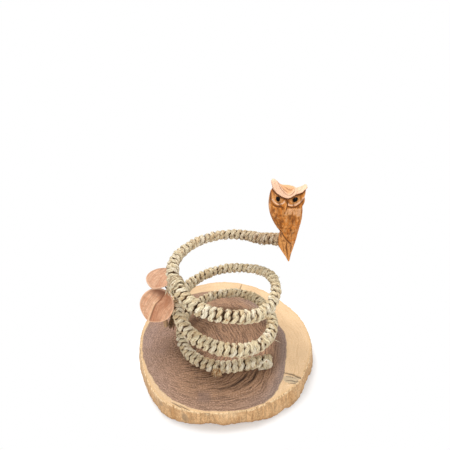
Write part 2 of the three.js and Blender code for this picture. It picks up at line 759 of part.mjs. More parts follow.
function twigLashing() {
  const hole = TWIG_DIAMETER + 2 * CLEARANCE;
  const ring = rod(
    twigPoint(-LASHING_WIDTH / 2),
    twigPoint(LASHING_WIDTH / 2),
    hole + 2 * BAND_PROUD,
    16,
  );
  const bridge = rod(lashingFrame.middle, twigGrip, LASHING_WIDTH);
  const outer = join(bandRound(lashingFrame, LASHING_WIDTH), ring, bridge);
  const ropeRoom = new THREE.CylinderGeometry(BAND_RADIUS, BAND_RADIUS, LASHING_WIDTH * 3, 16);
  const turn = new THREE.Quaternion().setFromUnitVectors(vec(0, 1, 0), lashingFrame.along);
  ropeRoom.applyQuaternion(turn);
  ropeRoom.translate(lashingFrame.middle.x, lashingFrame.middle.y, lashingFrame.middle.z);
  const reach = 3 * LASHING_WIDTH;
  return cut(outer, ropeRoom, rod(twigPoint(-reach), twigPoint(reach), hole, 16));
}

// Materials
const finish = (color, roughness, metalness = 0) =>
  new THREE.MeshStandardMaterial({ color, roughness, metalness });
const sapwood = () => finish(0xb98a5e, 0.8);
const straw = () => finish(0xcdb98c, 0.9);
const steel = () => finish(0x8c8c8c, 0.45, 1);
const carvedWood = () => finish(0xb8733a, 0.65);
const leafWood = () => finish(0xc98f68, 0.7);
const glassBead = () => finish(0x0a0a0c, 0.15);
const twigWood = () => finish(0xb59a74, 0.85);
const thread = () => finish(0x6a4f3a, 0.95);

const holder = new THREE.Group();

function place(name, geometry, material) {
  const mesh = new THREE.Mesh(geometry, material);
  mesh.name = name;
  holder.add(mesh);
}

// The least gap between one turn of the rope and the next
function leastTurnGap() {
  let least = Infinity;
  const stations = Array.from({ length: RIBS * 2 + 1 }, (_, k) => routePoint(k * HALF_RIB));
  const apart = Math.round((2 * ROPE_DIAMETER) / HALF_RIB);
  for (let a = 0; a < stations.length; a++) {
    for (let b = a + apart; b < stations.length; b++) {
      least = Math.min(least, stations[a].distanceTo(stations[b]));
    }
  }
  return least - ROPE_DIAMETER;
}

place("base_slab", baseSlab(), sapwood());
place("core_wire", coreWire(), steel());
sections.forEach(({ name, from, to }, k) => {
  const fromGap = k === 0 ? 0 : jointGap(from);
  const toGap = k === sections.length - 1 ? 0 : jointGap(to);
  const binding = ropeSection(from, to, fromGap, toGap);
  place(name, k === 0 ? cut(binding, legSlot()) : binding, straw());
});
stapleStations.forEach((station, k) => {
  const geometry = tubeThrough(staplePoints(station), STAPLE_WIRE, STAPLE_SIDES);
  place(`staple_${k + 1}`, geometry, steel());
});
place("owl_body", owlBody(), carvedWood());
place("owl_eye_left", eyeBead(EYE_LEFT), glassBead());
place("owl_eye_right", eyeBead(EYE_RIGHT), glassBead());
place("leaf_lower", leafBlank(lowerLeaf), leafWood());
place("leaf_upper", cut(leafBlank(upperLeaf), stalkHole(stalk)), leafWood());
place("leaf_stalk", rod(stalk.root, stalk.grip, STALK_DIAMETER, 8), steel());
place("leaf_band", cut(bandRound(bandFrame, BAND_WIDTH), stalkHole(stalk)), straw());
place("twig", twig(), twigWood());
place("twig_lashing", twigLashing(), thread());

console.log(`rope length ${route.total.toFixed(1)} mm, ribs ${RIBS}`);
console.log(`least gap between turns ${leastTurnGap().toFixed(2)} mm`);

export default holder;
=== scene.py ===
"""Wine bottle holder: a slice of log, a rope-bound wire coil, a carved owl, leaves and a twig."""

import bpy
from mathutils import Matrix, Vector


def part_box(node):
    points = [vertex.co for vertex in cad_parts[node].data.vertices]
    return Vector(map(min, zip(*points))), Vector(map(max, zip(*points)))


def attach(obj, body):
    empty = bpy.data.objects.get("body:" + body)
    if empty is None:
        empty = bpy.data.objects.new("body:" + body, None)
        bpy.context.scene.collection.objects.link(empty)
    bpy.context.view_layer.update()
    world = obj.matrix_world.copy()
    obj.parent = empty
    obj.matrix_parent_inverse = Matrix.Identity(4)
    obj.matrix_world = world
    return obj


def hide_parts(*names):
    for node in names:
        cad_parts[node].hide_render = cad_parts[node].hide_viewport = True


bl_info = {
    "name": "Wine Bottle Holder",
    "version": (1, 0, 0),
    "blender": (4, 5, 0),
    "location": "3D View > Sidebar > Holder",
    "description": "Builds a rope coil on a slice of log, with a carved owl, leaves and a twig",
    "category": "Add Mesh",
}

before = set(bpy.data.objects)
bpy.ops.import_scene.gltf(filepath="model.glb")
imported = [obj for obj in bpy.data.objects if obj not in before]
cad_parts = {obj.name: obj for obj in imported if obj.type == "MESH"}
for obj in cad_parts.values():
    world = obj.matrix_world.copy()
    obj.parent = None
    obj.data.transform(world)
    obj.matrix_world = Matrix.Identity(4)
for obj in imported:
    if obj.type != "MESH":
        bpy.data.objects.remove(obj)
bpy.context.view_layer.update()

import math

import bpy
import numpy as np
from bpy.props import FloatProperty, FloatVectorProperty, IntProperty, PointerProperty
from bpy.types import Operator, Panel, PropertyGroup
from mathutils import Matrix

MM = 0.001
TURN = 2 * math.pi

# The coil's route, with the same values as the part's source, in millimetres and degrees.
# Turn angles run clockwise from +X as seen from above.
CLEARANCE = 0.3
ROPE_RADIUS = 7.5
COIL_RADIUS = 49.8
COIL_HEIGHT = 107.9
COIL_START = 80
COIL_LIFT = 152
LIFT_EASE = 4
COIL_END = 1043
TAIL_LENGTH = 42
ARM_LENGTH = 35
ARM_RISE = 12
# Turn angle, spread and size of each: sags in turns of climb, bulges in shares of the radius
COIL_SAGS = (
    (407, 47, -0.31), (479, 50, -0.163), (593, 93, -0.131), (700, 24, 0.04),
    (764, 33, -0.278), (827, 56, -0.254), (905, 26, 0.048), (1036, 48, -0.061),
)
COIL_BULGES = (
    (248, 82, 0.032), (379, 34, 0.086), (529, 37, 0.02), (700, 26, 0.045), (734, 31, 0.1),
    (892, 28, 0.044),
)
SLAB_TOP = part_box("base_slab")[1].z / MM
SLAB_MIDDLE = np.array([0.8, 8.6])
ROPE_STEP = 0.5
TAIL_POINTS = 84
ARM_POINTS = 67
# How many steps ahead and behind the rope's direction is read from
ROPE_REACH = 3

# Where one length of the binding ends and the next begins, and how many wraps short of that it
# stops
BINDINGS = (
    ("binding_tail", "rope_tail", 100, 0.0),
    ("binding_foot_turn", "rope_foot_turn", 147, 0.0),
    ("binding_first_rise", "rope_first_rise", 290, 0.0),
    ("binding_lower_turn", "rope_lower_turn", 640, 0.0),
    ("binding_second_rise", "rope_second_rise", 777, 0.12),
    ("binding_upper_front", "rope_upper_front", 880, 0.06),
    ("binding_top_turn", "rope_top_turn", None, 0.3),
)


def unit(vectors):
    """Each vector divided by its own length."""
    return vectors / np.maximum(np.linalg.norm(vectors, axis=-1, keepdims=True), 1e-12)


def ease(low, high, value):
    """0 below low and 1 above high, with a smooth S between: t squared times (3 - 2t)."""
    share = np.clip((value - low) / (high - low), 0, 1)
    return share * share * (3 - 2 * share)


def bump(value, middle, spread):
    """A smooth hump of height 1: e to the power of minus the squared distance over the spread."""
    return np.exp(-(((value - middle) / spread) ** 2))


def line_at(place, points):
    """Height of a line through points, at places along it."""
    return np.interp(place, *np.transpose(points))


def round_angles(count):
    """So many even directions round a circle, in radians."""
    return np.linspace(0, TURN, count, endpoint=False)


def round_about(angle, first, second):
    """Directions between two axes: cos of the angle times the first plus sin times the second."""
    return np.cos(angle)[..., None] * first + np.sin(angle)[..., None] * second


def wander(place, seed):
    """Smooth random value from -1 to 1: seeded values at whole numbers, eased from one to the next."""
    values = np.random.default_rng(seed).uniform(-1, 1, 4096)
    cell = np.floor(place).astype(int)
    share = ease(0, 1, place - cell)
    return values[cell % 4096] * (1 - share) + values[(cell + 1) % 4096] * share


def grain2(x, y, seed):
    """Smooth random field over a plane, from -1 to 1: seeded values on a whole-number grid,
    eased between the four corners of each cell."""
    values = np.random.default_rng(seed).uniform(-1, 1, (256, 256))
    i, j = np.floor(x).astype(int), np.floor(y).astype(int)
    u, v = ease(0, 1, x - i), ease(0, 1, y - j)
    i, j = i % 256, j % 256
    k, m = (i + 1) % 256, (j + 1) % 256
    low = values[i, j] * (1 - u) + values[k, j] * u
    high = values[i, m] * (1 - u) + values[k, m] * u
    return low * (1 - v) + high * v


def coil_point(turn):
    """Middle of the rope at turn angles: a circle widened by bulges, at a height that lies flat
    and then climbs evenly, less the sags."""
    radius = COIL_RADIUS * (1 + sum(out * bump(turn, at, wide) for at, wide, out in COIL_BULGES))
    climb = COIL_HEIGHT * 360 / (COIL_END - COIL_LIFT)
    turns = LIFT_EASE * np.logaddexp(0, (turn - COIL_LIFT) / LIFT_EASE) / 360
    sag = sum(up * bump(turn, at, wide) for at, wide, up in COIL_SAGS)
    height = SLAB_TOP + CLEARANCE + ROPE_RADIUS + climb * (turns + sag)
    way = -np.radians(turn)
    return np.stack([radius * np.cos(way), radius * np.sin(way), height + 0 * way], -1)


def coil_forward(turn):
    """Level direction in which the coil runs at a turn angle."""
    way = -math.radians(turn)
    return np.array([math.sin(way), -math.cos(way), 0.0])


def make_route():
    """The rope's middle from tail to arm at even steps of length: a straight tail, the coil and a
    straight rising arm. Gives the lengths, then middle, direction, side and upper side, and the
    turn angle at each."""
    turns = np.arange(COIL_START, COIL_END, 0.25)
    coil = coil_point(turns)
    back = np.linspace(TAIL_LENGTH, ROPE_STEP, TAIL_POINTS)[:, None]
    tail = coil[0] - back * coil_forward(COIL_START)
    run = math.sqrt(ARM_LENGTH ** 2 - ARM_RISE ** 2)
    arm_way = coil_forward(COIL_END) * run + np.array([0, 0, ARM_RISE])
    arm = coil_point(np.array(COIL_END)) + np.linspace(0, 1, ARM_POINTS)[:, None] * arm_way
    points = np.concatenate([tail, coil, arm])
    angles = np.concatenate([np.full(len(tail), COIL_START), turns, np.full(len(arm), COIL_END)])
    lengths = np.concatenate([[0], np.cumsum(np.linalg.norm(np.diff(points, axis=0), axis=1))])
    even = np.arange(0, lengths[-1], ROPE_STEP)
    middle = np.stack([np.interp(even, lengths, column) for column in points.T], -1)
    ahead = np.concatenate([middle[ROPE_REACH:], np.repeat(middle[-1:], ROPE_REACH, 0)])
    behind = np.concatenate([np.repeat(middle[:1], ROPE_REACH, 0), middle[:-ROPE_REACH]])
    along = unit(ahead - behind)
    side = unit(np.cross(along, [0, 0, 1]))
    above = np.cross(side, along)
    return even, np.concatenate([middle, along, side, above], 1), np.interp(even, lengths, angles)


ROUTE_LENGTHS, ROUTE_TABLE, ROUTE_ANGLES = make_route()
ROPE_LENGTH = ROUTE_LENGTHS[-1]


def rope_at(length):
    """Middle, direction, side and upper side of the rope at lengths along it, read from the even
    table of the route. Past either end the rope goes straight on."""
    columns = np.stack([np.interp(length, ROUTE_LENGTHS, c) for c in ROUTE_TABLE.T], -1)
    middle, along, side, above = (columns[..., k : k + 3] for k in (0, 3, 6, 9))
    past = length - np.clip(length, 0, ROPE_LENGTH)
    return middle + along * past[..., None], unit(along), unit(side), unit(above)


def length_at(turn):
    """Length along the rope at a turn angle, or the whole length for None."""
    return ROPE_LENGTH if turn is None else float(np.interp(turn, ROUTE_ANGLES, ROUTE_LENGTHS))


def turn_at(length):
    """Turn angle at lengths along the rope."""
    return np.interp(length, ROUTE_LENGTHS, ROUTE_ANGLES)


def tube_rings(path, guide, radius, sides, swell=1.0):
    """Rings of points round a path: path + radius * swell * (cos a * n + sin a * b), where n is the
    guide made square to the path and b is square to both."""
    along = unit(np.gradient(path, axis=0))
    n = unit(guide - along * np.sum(guide * along, -1, keepdims=True))
    b = np.cross(along, n)
    a = round_angles(sides)
    reach = np.broadcast_to(np.asarray(radius, float).reshape(-1, 1), (len(path), 1)) * swell
    across = (reach * np.cos(a))[..., None] * n[:, None, :]
    return path[:, None, :] + across + (reach * np.sin(a))[..., None] * b[:, None, :]


def strand_swell(rows, sides, lobes, depth, lay):
    """Swelling of a twisted strand: rounded lobes with sharp valleys, turning by lay a row:
    1 + depth * (2 |cos(lobes * angle / 2)| - 1.3)."""
    angle = round_angles(sides) + lay * np.arange(rows)[:, None]
    return 1 + depth * (2 * np.abs(np.cos(lobes * angle / 2)) - 1.3)


def cubic(a, b, c, d, t):
    """The way from b to c by share t, which leaves each along the line between its neighbours."""
    return 0.5 * (
        2 * b + (c - a) * t + (2 * a - 5 * b + 4 * c - d) * t ** 2 + (3 * b - a - 3 * c + d) * t ** 3
    )


def curve_through(points, count):
    """An open curve through points, one cubic from each to the next."""
    points = np.array(points, float)
    first, last = 2 * points[:1] - points[1:2], 2 * points[-1:] - points[-2:-1]
    whole = np.concatenate([first, points, last])
    place = np.linspace(0, len(points) - 1, count)
    k = np.minimum(place.astype(int), len(points) - 2)
    return cubic(*(whole[k + n] for n in range(4)), (place - k)[:, None])


class Shape:
    """Points, faces and point values of one piece, gathered skin by skin, in millimetres."""

    def __init__(self):
        self.points, self.faces, self.kinds, self.values = [], [], [], {}
        self.count = 0

    def add(self, rings, poles=None, kind=0, **values):
        """Adds a closed skin through rings of points, ended by two poles: the middles of the end
        rings, if none are given. Kind is its finish's number, or one for each row of faces. Each
        value is one number or three for the points of the rings, or for those and the poles."""
        rows, sides = rings.shape[:2]
        total = rows * sides
        c = np.arange(sides)
        d = np.roll(c, -1)
        r = np.arange(rows - 1)[:, None] * sides
        quads = np.stack([r + c, r + d, r + sides + d, r + sides + c], -1).reshape(-1, 4)
        first = np.stack([d, c, 0 * c + total], -1)
        last = np.stack([c + total - sides, d + total - sides, 0 * c + total + 1], -1)
        kinds = np.repeat(np.broadcast_to(kind, rows - 1), sides)
        poles = rings[[0, -1]].mean(1) if poles is None else poles
        self.points.append(np.concatenate([rings.reshape(-1, 3), poles]))
        self.faces += [part + self.count for part in (quads, first, last)]
        self.kinds += [kinds, kinds[:sides], kinds[-sides:]]
        for name, value in values.items():
            if len(np.shape(value)) != 2:
                value = np.broadcast_to(value, rings.shape).reshape(-1, 3)
                value = np.concatenate([value, value[[0, -1]]])
            self.values.setdefault(name, []).append(value)
        self.count += total + 2

    def add_tube(self, path, guide, radius, sides, swell=1.0, kind=0, **values):
        """Adds a tube that closes on the path's two ends."""
        self.add(tube_rings(path, guide, radius, sides, swell), path[[0, -1]], kind, **values)

    def volume(self):
        """Six times the enclosed volume, from the triple products of the faces' corners."""
        points = np.concatenate(self.points)
        total = 0.0
        for part in self.faces:
            for k in range(1, part.shape[1] - 1):
                a, b, c = points[part[:, 0]], points[part[:, k]], points[part[:, k + 1]]
                total += np.sum(a * np.cross(b, c))
        return total

    def build(self, name, node, slot, *finishes):
        """Makes the piece in metres at the origin, with its faces turned outwards, to stand in the
        place of a CAD node."""
        flip = self.volume() < 0
        faces = [part[:, ::-1] if flip else part for part in self.faces]
        mesh = bpy.data.meshes.new(name)
        mesh.vertices.add(self.count)
        mesh.vertices.foreach_set("co", (np.concatenate(self.points) * MM).ravel())
        corners = np.concatenate([part.ravel() for part in faces])
        sizes = np.concatenate([np.full(len(part), part.shape[1]) for part in faces])
        mesh.loops.add(len(corners))
        mesh.loops.foreach_set("vertex_index", corners.astype(np.int32))
        mesh.polygons.add(len(sizes))
        starts = np.concatenate([[0], np.cumsum(sizes)[:-1]])
        mesh.polygons.foreach_set("loop_start", starts.astype(np.int32))
        mesh.polygons.foreach_set("material_index", np.concatenate(self.kinds).astype(np.int32))
        mesh.polygons.foreach_set("use_smooth", np.full(len(sizes), True))
        for value_name, parts in self.values.items():
            layer = mesh.attributes.new(value_name, "FLOAT_VECTOR", "POINT")
            layer.data.foreach_set("vector", np.concatenate(parts).astype(np.float32).ravel())
        for finish in finishes:
            mesh.materials.append(finish)
        mesh.update(calc_edges=True)
        mesh.validate()
        piece = bpy.data.objects.new(name, mesh)
        bpy.context.scene.collection.objects.link(piece)
        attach(piece, "root")
        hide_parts(node)


class Value:
    """A number or colour in a material. Operators on numbers add Math nodes."""

    def __init__(self, finish, socket):
        self.finish = finish
        self.socket = socket

    def output(self, key):
        """Another output of the node that this value comes from."""
        return Value(self.finish, self.socket.node.outputs[key])

    def math(self, operation, *items):
        return self.finish.node("Math", {"operation": operation}, dict(enumerate(items)))

    def __add__(self, other):
        return self.math("ADD", self, other)

    def __sub__(self, other):
        return self.math("SUBTRACT", self, other)

    def __rsub__(self, other):
        return self.math("SUBTRACT", other, self)

    def __mul__(self, other):
        return self.math("MULTIPLY", self, other)

    def __pow__(self, other):
        return self.math("POWER", self, other)

    __radd__ = __add__
    __rmul__ = __mul__

    def part(self):
        """What is left over a whole number."""
        return self.math("FRACT", self)

    def most(self, other):
        return self.math("MAXIMUM", self, other)

    def size(self):
        return self.math("ABSOLUTE", self)

    def step(self, low, high):
        """0 at low and 1 at high, eased between and held past them."""
        settings = {"interpolation_type": "SMOOTHSTEP"}
        return self.finish.node("MapRange", settings, {0: self, 1: low, 2: high, 3: 0.0, 4: 1.0})


class Nodes:
    """A tree of shader nodes in the making."""

    def __init__(self, tree):
        self.tree = tree

    def node(self, kind, settings=None, inputs=None, output=0):
        """Adds any node: its settings first, then the values or links of its sockets."""
        node = self.tree.nodes.new("ShaderNode" + kind)
        for key, value in (settings or {}).items():
            setattr(node, key, value)
        for key, value in (inputs or {}).items():
            self.feed(node.inputs[key], value)
        return Value(self, node.outputs[output])

    def feed(self, socket, value):
        if isinstance(value, Value):
            self.tree.links.new(value.socket, socket)
        else:
            socket.default_value = value

    def seen(self):
        """1 where the camera looks, also by way of gloss or glass, and 0 for other light."""
        ray = self.node("LightPath", output="Is Camera Ray")
        return ray.most(ray.output("Is Glossy Ray")).most(ray.output("Is Transmission Ray"))


class Finish(Nodes):
    """A material in the making, with its nodes around one Principled shader."""

    def __init__(self, name, **fixed):
        self.material = bpy.data.materials.new(name)
        self.material.use_nodes = True
        super().__init__(self.material.node_tree)
        self.shader = self.tree.nodes["Principled BSDF"]
        for key, value in fixed.items():
            self.shader.inputs[key.replace("_", " ")].default_value = value

    def place(self, tall=1.0):
        """Object coordinates in millimetres, with the upward one times tall."""
        coordinates = self.node("TexCoord", output="Object")
        return self.stretch(coordinates, (1 / MM, 1 / MM, tall / MM))

    def stretch(self, vector, by):
        return self.node("VectorMath", {"operation": "MULTIPLY"}, {0: vector, 1: by})

    def attribute(self, name):
        """A point value of the mesh, as a vector."""
        return self.node("Attribute", {"attribute_name": name}, output="Vector")

    def split(self, vector):
        """The three parts of a vector, or of the point value of a name."""
        vector = self.attribute(vector) if isinstance(vector, str) else vector
        x = self.node("SeparateXYZ", None, {0: vector})
        return x, x.output(1), x.output(2)

    def join(self, x, y, z):
        return self.node("CombineXYZ", None, {0: x, 1: y, 2: z})

    def noise(self, vector, scale, detail=3.0, rough=0.55, twist=0.0):
        """Cloudy noise around 0.5, with about scale clouds to each unit of the vector."""
        inputs = {"Vector": vector, "Scale": scale, "Detail": detail}
        return self.node("TexNoise", None, {**inputs, "Roughness": rough, "Distortion": twist})

    def mix(self, share, first, second, mode="MIX"):
        """A colour between two, by share."""
        settings = {"data_type": "RGBA", "blend_type": mode}
        return self.node("Mix", settings, {0: share, 6: first, 7: second}, output=2)

    def coats(self, colour, *layers, mode="MIX"):
        """Lays colours over a first one. Each layer is its share, its colour and, if the colour is
        not taken as it is, its level."""
        for share, over, *level in layers:
            colour = self.mix(share, colour, tint(over, *level), mode)
        return colour

    def finish(self, colour, rough=None, height=None, depth=0.0002):
        """Feeds the shader, with height as a bump of so many metres."""
        self.feed(self.shader.inputs["Base Color"], colour)
        if rough is not None:
            self.feed(self.shader.inputs["Roughness"], rough)
        if height is not None:
            bumped = self.node("Bump", None, {"Height": height, "Distance": depth, "Strength": 1.0})
            self.feed(self.shader.inputs["Normal"], bumped)
        return self.material


def paint(code):
    """Linear colour of a six-figure colour code."""
    parts = [int(code[k : k + 2], 16) / 255 for k in (0, 2, 4)]
    return tuple(p / 12.92 if p <= 0.04045 else ((p + 0.055) / 1.055) ** 2.4 for p in parts)


def tint(colour, level=1.0):
    """A colour code or property as four numbers for a shader socket, times level."""
    colour = paint(colour) if isinstance(colour, str) else colour
    return tuple(min(1.0, c * level) for c in colour) + (1.0,)


def colour_property(name, code, description):
    return FloatVectorProperty(
        name=name, description=description, subtype="COLOR", size=3, min=0, max=1,
        default=paint(code),
    )


def length_property(name, millimetres, description):
    return FloatProperty(
        name=name, description=description, default=millimetres * MM, unit="LENGTH", precision=4,
    )


class HolderSlabSettings(PropertyGroup):
    """Sizes and colours of the slice of log."""

    ring_gap: length_property("Ring gap", 2.3, "Distance from one growth ring to the next")
    bark_relief: length_property("Side relief", 0.8, "Depth of the grooves down the bare side")
    heartwood: colour_property("Heartwood", "99765a", "Colour of the dark middle")
    heartwood_rim: colour_property("Heartwood rim", "927d72", "Colour of the heartwood's edge")
    # The far left of the heartwood gets this paler colour as a painted sheen.
    heartwood_left_sheen: colour_property("Heartwood, left", "a58d85", "Colour of its far left part")
    sapwood: colour_property("Sapwood", "e8c69c", "Colour of the pale ring under the bark")
    side: colour_property("Side", "d3a776", "Colour of the bare side")


class HolderRopeSettings(PropertyGroup):
    """Sizes and colours of the fibre binding."""

    pitch: length_property("Pitch", 6.4, "Distance along the coil from one wrap to the next")
    ply_diameter: length_property("Ply diameter", 4.15, "Thickness of one ply of the cord")
    lay: length_property("Lay", 13.5, "Length of cord in which its plies go once round each other")
    plies: IntProperty(name="Plies", description="Plies in the cord", default=2, min=1, max=3)
    straw: colour_property("Straw", "f0e0bd", "Colour of clean fibre")
    # Shade is a painted shade: it darkens the fibre that lies deep between the wraps.
    shade: colour_property("Shade", "6d4725", "Colour of fibre deep between the wraps")
    fleck: colour_property("Fleck", "a5683f", "Colour of the reddish flecks")


class HolderOwlSettings(PropertyGroup):
    """Sizes and colours of the carved owl."""

    relief: FloatProperty(
        name="Relief", description="Depth of the carving, as a share of the real one",
        default=1.0, min=0.0, max=2.0, subtype="FACTOR",
    )
    wood: colour_property("Wood", "c87b31", "Colour of the oiled body")
    # The pale colour also paints highlights on the lit facets and the raised lumps.
    pale: colour_property("Pale wood", "efc3a4", "Colour of the crown, the brow and the patches")
    # The groove colour also paints the shadows under the brow, the beak's root and the lower lids, and
    # part of the shade in the gouges' hollows.
    groove: colour_property("Groove", "643614", "Colour that the oil leaves in the cuts")


class HolderLeafSettings(PropertyGroup):
    """Colours of the leaves and the twig."""

    wood: colour_property("Leaf wood", "dfae8b", "Colour of the leaves")
    # The rib colour also paints the shade along the midrib and the shadow at the stalk end.
    rib: colour_property("Rib", "9a6242", "Colour of the leaves near the midrib and the stalk")
    twig: colour_property("Twig", "a08060", "Colour of the peeled twig")


class HolderStageSettings(PropertyGroup):
    """Camera, light and floor."""

    lens: FloatProperty(
        name="Lens", description="Focal length for a 36 mm sensor", default=24.068,
        unit="CAMERA",
    )
    camera_height: length_property("Camera height", 287.925, "Camera above the floor")
    camera_back: length_property("Camera distance", 260.535, "Camera in front of the coil's axis")
    camera_tilt: FloatProperty(
        name="Tilt", description="Camera's angle below the level", subtype="ANGLE",
        default=math.radians(28.121),
    )
    camera_roll: FloatProperty(
        name="Roll", description="Camera's turn about its own line of sight", subtype="ANGLE",
        default=-0.023,
    )
    floor: colour_property("Floor", "f4f4f4", "Colour of the floor")


class HolderOperator(Operator):
    """Shared base of the holder's operators."""

    bl_options = {"REGISTER", "UNDO"}


# The slice of log

# Outline of the top edge: direction about the slab's middle and distance from it
SLAB_EDGE_POINTS = (
    (-170, 100.2), (-158, 100.6), (-150, 101.7), (-141, 104.4), (-133, 106.8), (-127, 108.0),
    (-121, 108.3), (-115, 106.9), (-108, 105.5), (-100, 104.3), (-93, 103.2), (-85, 102),
    (-78, 102.1), (-70, 102), (-62, 101), (-54, 101.5), (-46, 102.5), (-41, 102.3),
    (-33, 101.2), (-25, 101), (-15, 100.8), (-7, 99.6), (4, 97.8), (20, 94.9), (31, 92.5),
    (47, 93.5), (58, 94.9), (75, 97), (95, 98.5), (115, 98.7), (140, 99.5), (160, 101), (174, 101.6),
)
# What the foot of the side stands out beyond the top edge
SLAB_FLARE_POINTS = (
    (-180, 4.5), (-157, 3.3), (-144, 1.4), (-130, 0.6), (-121, 1.5), (-115, 1.1), (-109, 0.4),
    (-104, -1.2), (-99, -2.8), (-92, -0.6), (-85, -0.8), (-79, -0.4), (-74, 1.1), (-68, 3.2),
    (-64, 3.9), (-60, 3.5), (-57, 2.6), (-54.6, 4.6), (-51, 4.4), (-45, 3.6), (-39, 2), (-33, 2.1),
    (-26, 3.6), (-21, 3.8), (0, 0.8), (100, 1),
)
# Edge of the heartwood, about the slab's middle
HEARTWOOD_POINTS = (
    (22, 62.6), (7, 65.3), (-4, 70.1), (-14, 72.5), (-28, 75.5), (-38, 80.4), (-48, 86.9),
    (-55, 91.9), (-61, 96.1), (-67, 99.1), (-78, 100.4), (-87, 100.6), (-95, 101.2),
    (-103, 102), (-111, 102.2), (-123, 102),
    (-131, 100.8), (-139, 99.3), (-148, 98.4), (-157, 98.2), (-165, 97.8), (-176, 97.6),
    (173, 96.5), (150, 91), (125, 84), (100, 77), (75, 70.5), (50, 64.8),
)
PITH = np.array([-64.2, -12.3])
SLAB_SECTORS = 720
SLAB_TOP_RINGS = 96
# Girth of the slice's side, and what a ring share of 1 stands for, in millimetres
SLAB_GIRTH = 640
RING_REACH = 86
# Cracks and checks in the top: the points that each runs through, its width and its depth
SLAB_CRACKS = (
    (((60, -52.6), (64.5, -53.8), (68.9, -55.0), (72.0, -57.2), (77.7, -59.9), (81, -61)), 0.8, 1.6),
    (((60, -61.5), (66, -61.8), (70, -63.4), (75, -62)), 0.55, 0.5),
    (((62.5, -65), (68, -65.2), (73, -66.8)), 0.5, 0.4),
    (((62, -57), (66, -57.6), (70, -59.4)), 0.35, 0.3),
    (((-52, -82), (-46, -85), (-40, -89.5)), 0.5, 0.5),
    (((-44, -85), (-38, -88.5), (-31, -92)), 0.45, 0.5),
    (((-60, 66), (-64, 72), (-66, 80)), 0.5, 1.2),
    (((20, 80), (24, 90), (27, 101)), 0.6, 1.6),
)
# Gouges down the side where the bark pulled fibres away: direction, spread and depth
SLAB_GOUGES = ((-30.5, 1.3, 0.9), (-44, 0.9, 1.3), (-88, 1.0, 0.8), (-71, 0.8, 0.8), (-118, 1.4, 0.9))
# Line along the middle of the pale sunken patch among the cracks
SUNKEN_PATCH = ((62, -60), (69, -61.5), (76, -62.2))
# Middle of the grey smear near the front of the heartwood
SMEAR = (-21.0, -77.0)
# Dark arcs along the rings: share of the way from the pith to the heartwood's edge at the first
# and last direction, those two directions about the pith, half the width in millimetres, and how
# dark it is
RING_ARCS = (
    (0.784, 0.807, -34, -20, 1.8, 0.95), (0.73, 0.738, -46, -25, 1.6, 0.95),
    (0.69, 0.70, -42, -30, 0.8, 0.5), (0.55, 0.56, -52, -38, 0.9, 0.6), (0.47, 0.48, -50, -36, 1.0, 0.6),
    (0.39, 0.40, -56, -30, 1.2, 0.7), (0.86, 0.87, -52, -36, 0.5, 0.4), (0.22, 0.23, -70, 40, 0.6, 0.45),
    (0.3, 0.31, -77, -20, 0.7, 0.4), (0.5, 0.51, -77, -56, 0.6, 0.35), (0.62, 0.63, -66, -48, 0.6, 0.35),
    (0.9, 0.91, -30, -12, 0.6, 0.3),
)


def around(points, angle):
    """A closed curve's value at directions in degrees: a cubic from each point to the next, whose
    slope at a point is the slope from its one neighbour to its other."""
    table = sorted((((a + 180) % 360) - 180, value) for a, value in points)
    angles = np.array([a for a, _ in table])
    values = np.array([value for _, value in table])
    angles = np.concatenate([angles - 360, angles, angles + 360])
    values = np.tile(values, 3)
    k = np.clip(np.searchsorted(angles, angle) - 1, 1, len(angles) - 3)
    t = (angle - angles[k]) / (angles[k + 1] - angles[k])
    gap = angles[k + 1] - angles[k]
    slope_a = (values[k + 1] - values[k - 1]) / (angles[k + 1] - angles[k - 1]) * gap
    slope_b = (values[k + 2] - values[k]) / (angles[k + 2] - angles[k]) * gap
    a = values[k]
    b = values[k + 1]
    return (
        a * (1 + 2 * t) * (1 - t) ** 2 + b * t * t * (3 - 2 * t)
        + slope_a * t * (1 - t) ** 2 - slope_b * t * t * (1 - t)
    )


def near_line(x, y, line):
    """Distance of points from a line through several points, and the share run along it."""
    best = np.full(np.shape(x), 1e9)
    run = np.zeros(np.shape(x))
    count = len(line) - 1
    for k in range(count):
        (ax, ay), (bx, by) = line[k], line[k + 1]
        dx, dy = bx - ax, by - ay
        t = np.clip(((x - ax) * dx + (y - ay) * dy) / (dx * dx + dy * dy), 0, 1)
        far = np.hypot(x - ax - t * dx, y - ay - t * dy)
        run = np.where(far < best, (k + t) / count, run)
        best = np.minimum(best, far)
    return best, run


def polar(x, y, middle):
    """Distance of points from a middle, and their direction about it in radians."""
    return np.hypot(x - middle[0], y - middle[1]), np.arctan2(y - middle[1], x - middle[0])


def ring_share(x, y):
    """How far out a point lies from the pith to the heartwood's edge: the rings are copies of
    that edge, shrunk towards the pith."""
    angle, reach = np.transpose(HEARTWOOD_POINTS)
    edge = round_about(np.radians(angle), [1, 0], [0, 1]) * reach[:, None] + SLAB_MIDDLE
    edge_reach, edge_way = polar(*edge.T, PITH)
    reach, way = polar(x, y, PITH)
    return reach / around(tuple(zip(np.degrees(edge_way), edge_reach)), np.degrees(way))


def slab_edge(angle, level):
    """Distance from the slab's middle to its side at a level from foot to top: the top outline
    and a flare towards the foot."""
    return around(SLAB_EDGE_POINTS, angle) + around(SLAB_FLARE_POINTS, angle) * (1 - level)


def side_grooves(angle):
    """Grooves that run down the side: seeded waves of three sizes, less the gouges."""
    arc = angle / 360 * SLAB_GIRTH
    waves = 0.5 * wander(arc / 5.3, 21) + 0.3 * wander(arc / 2.1, 22) + 0.2 * wander(arc / 1.1, 23)
    return waves - sum(depth * bump(angle, at, wide) for at, wide, depth in SLAB_GOUGES)


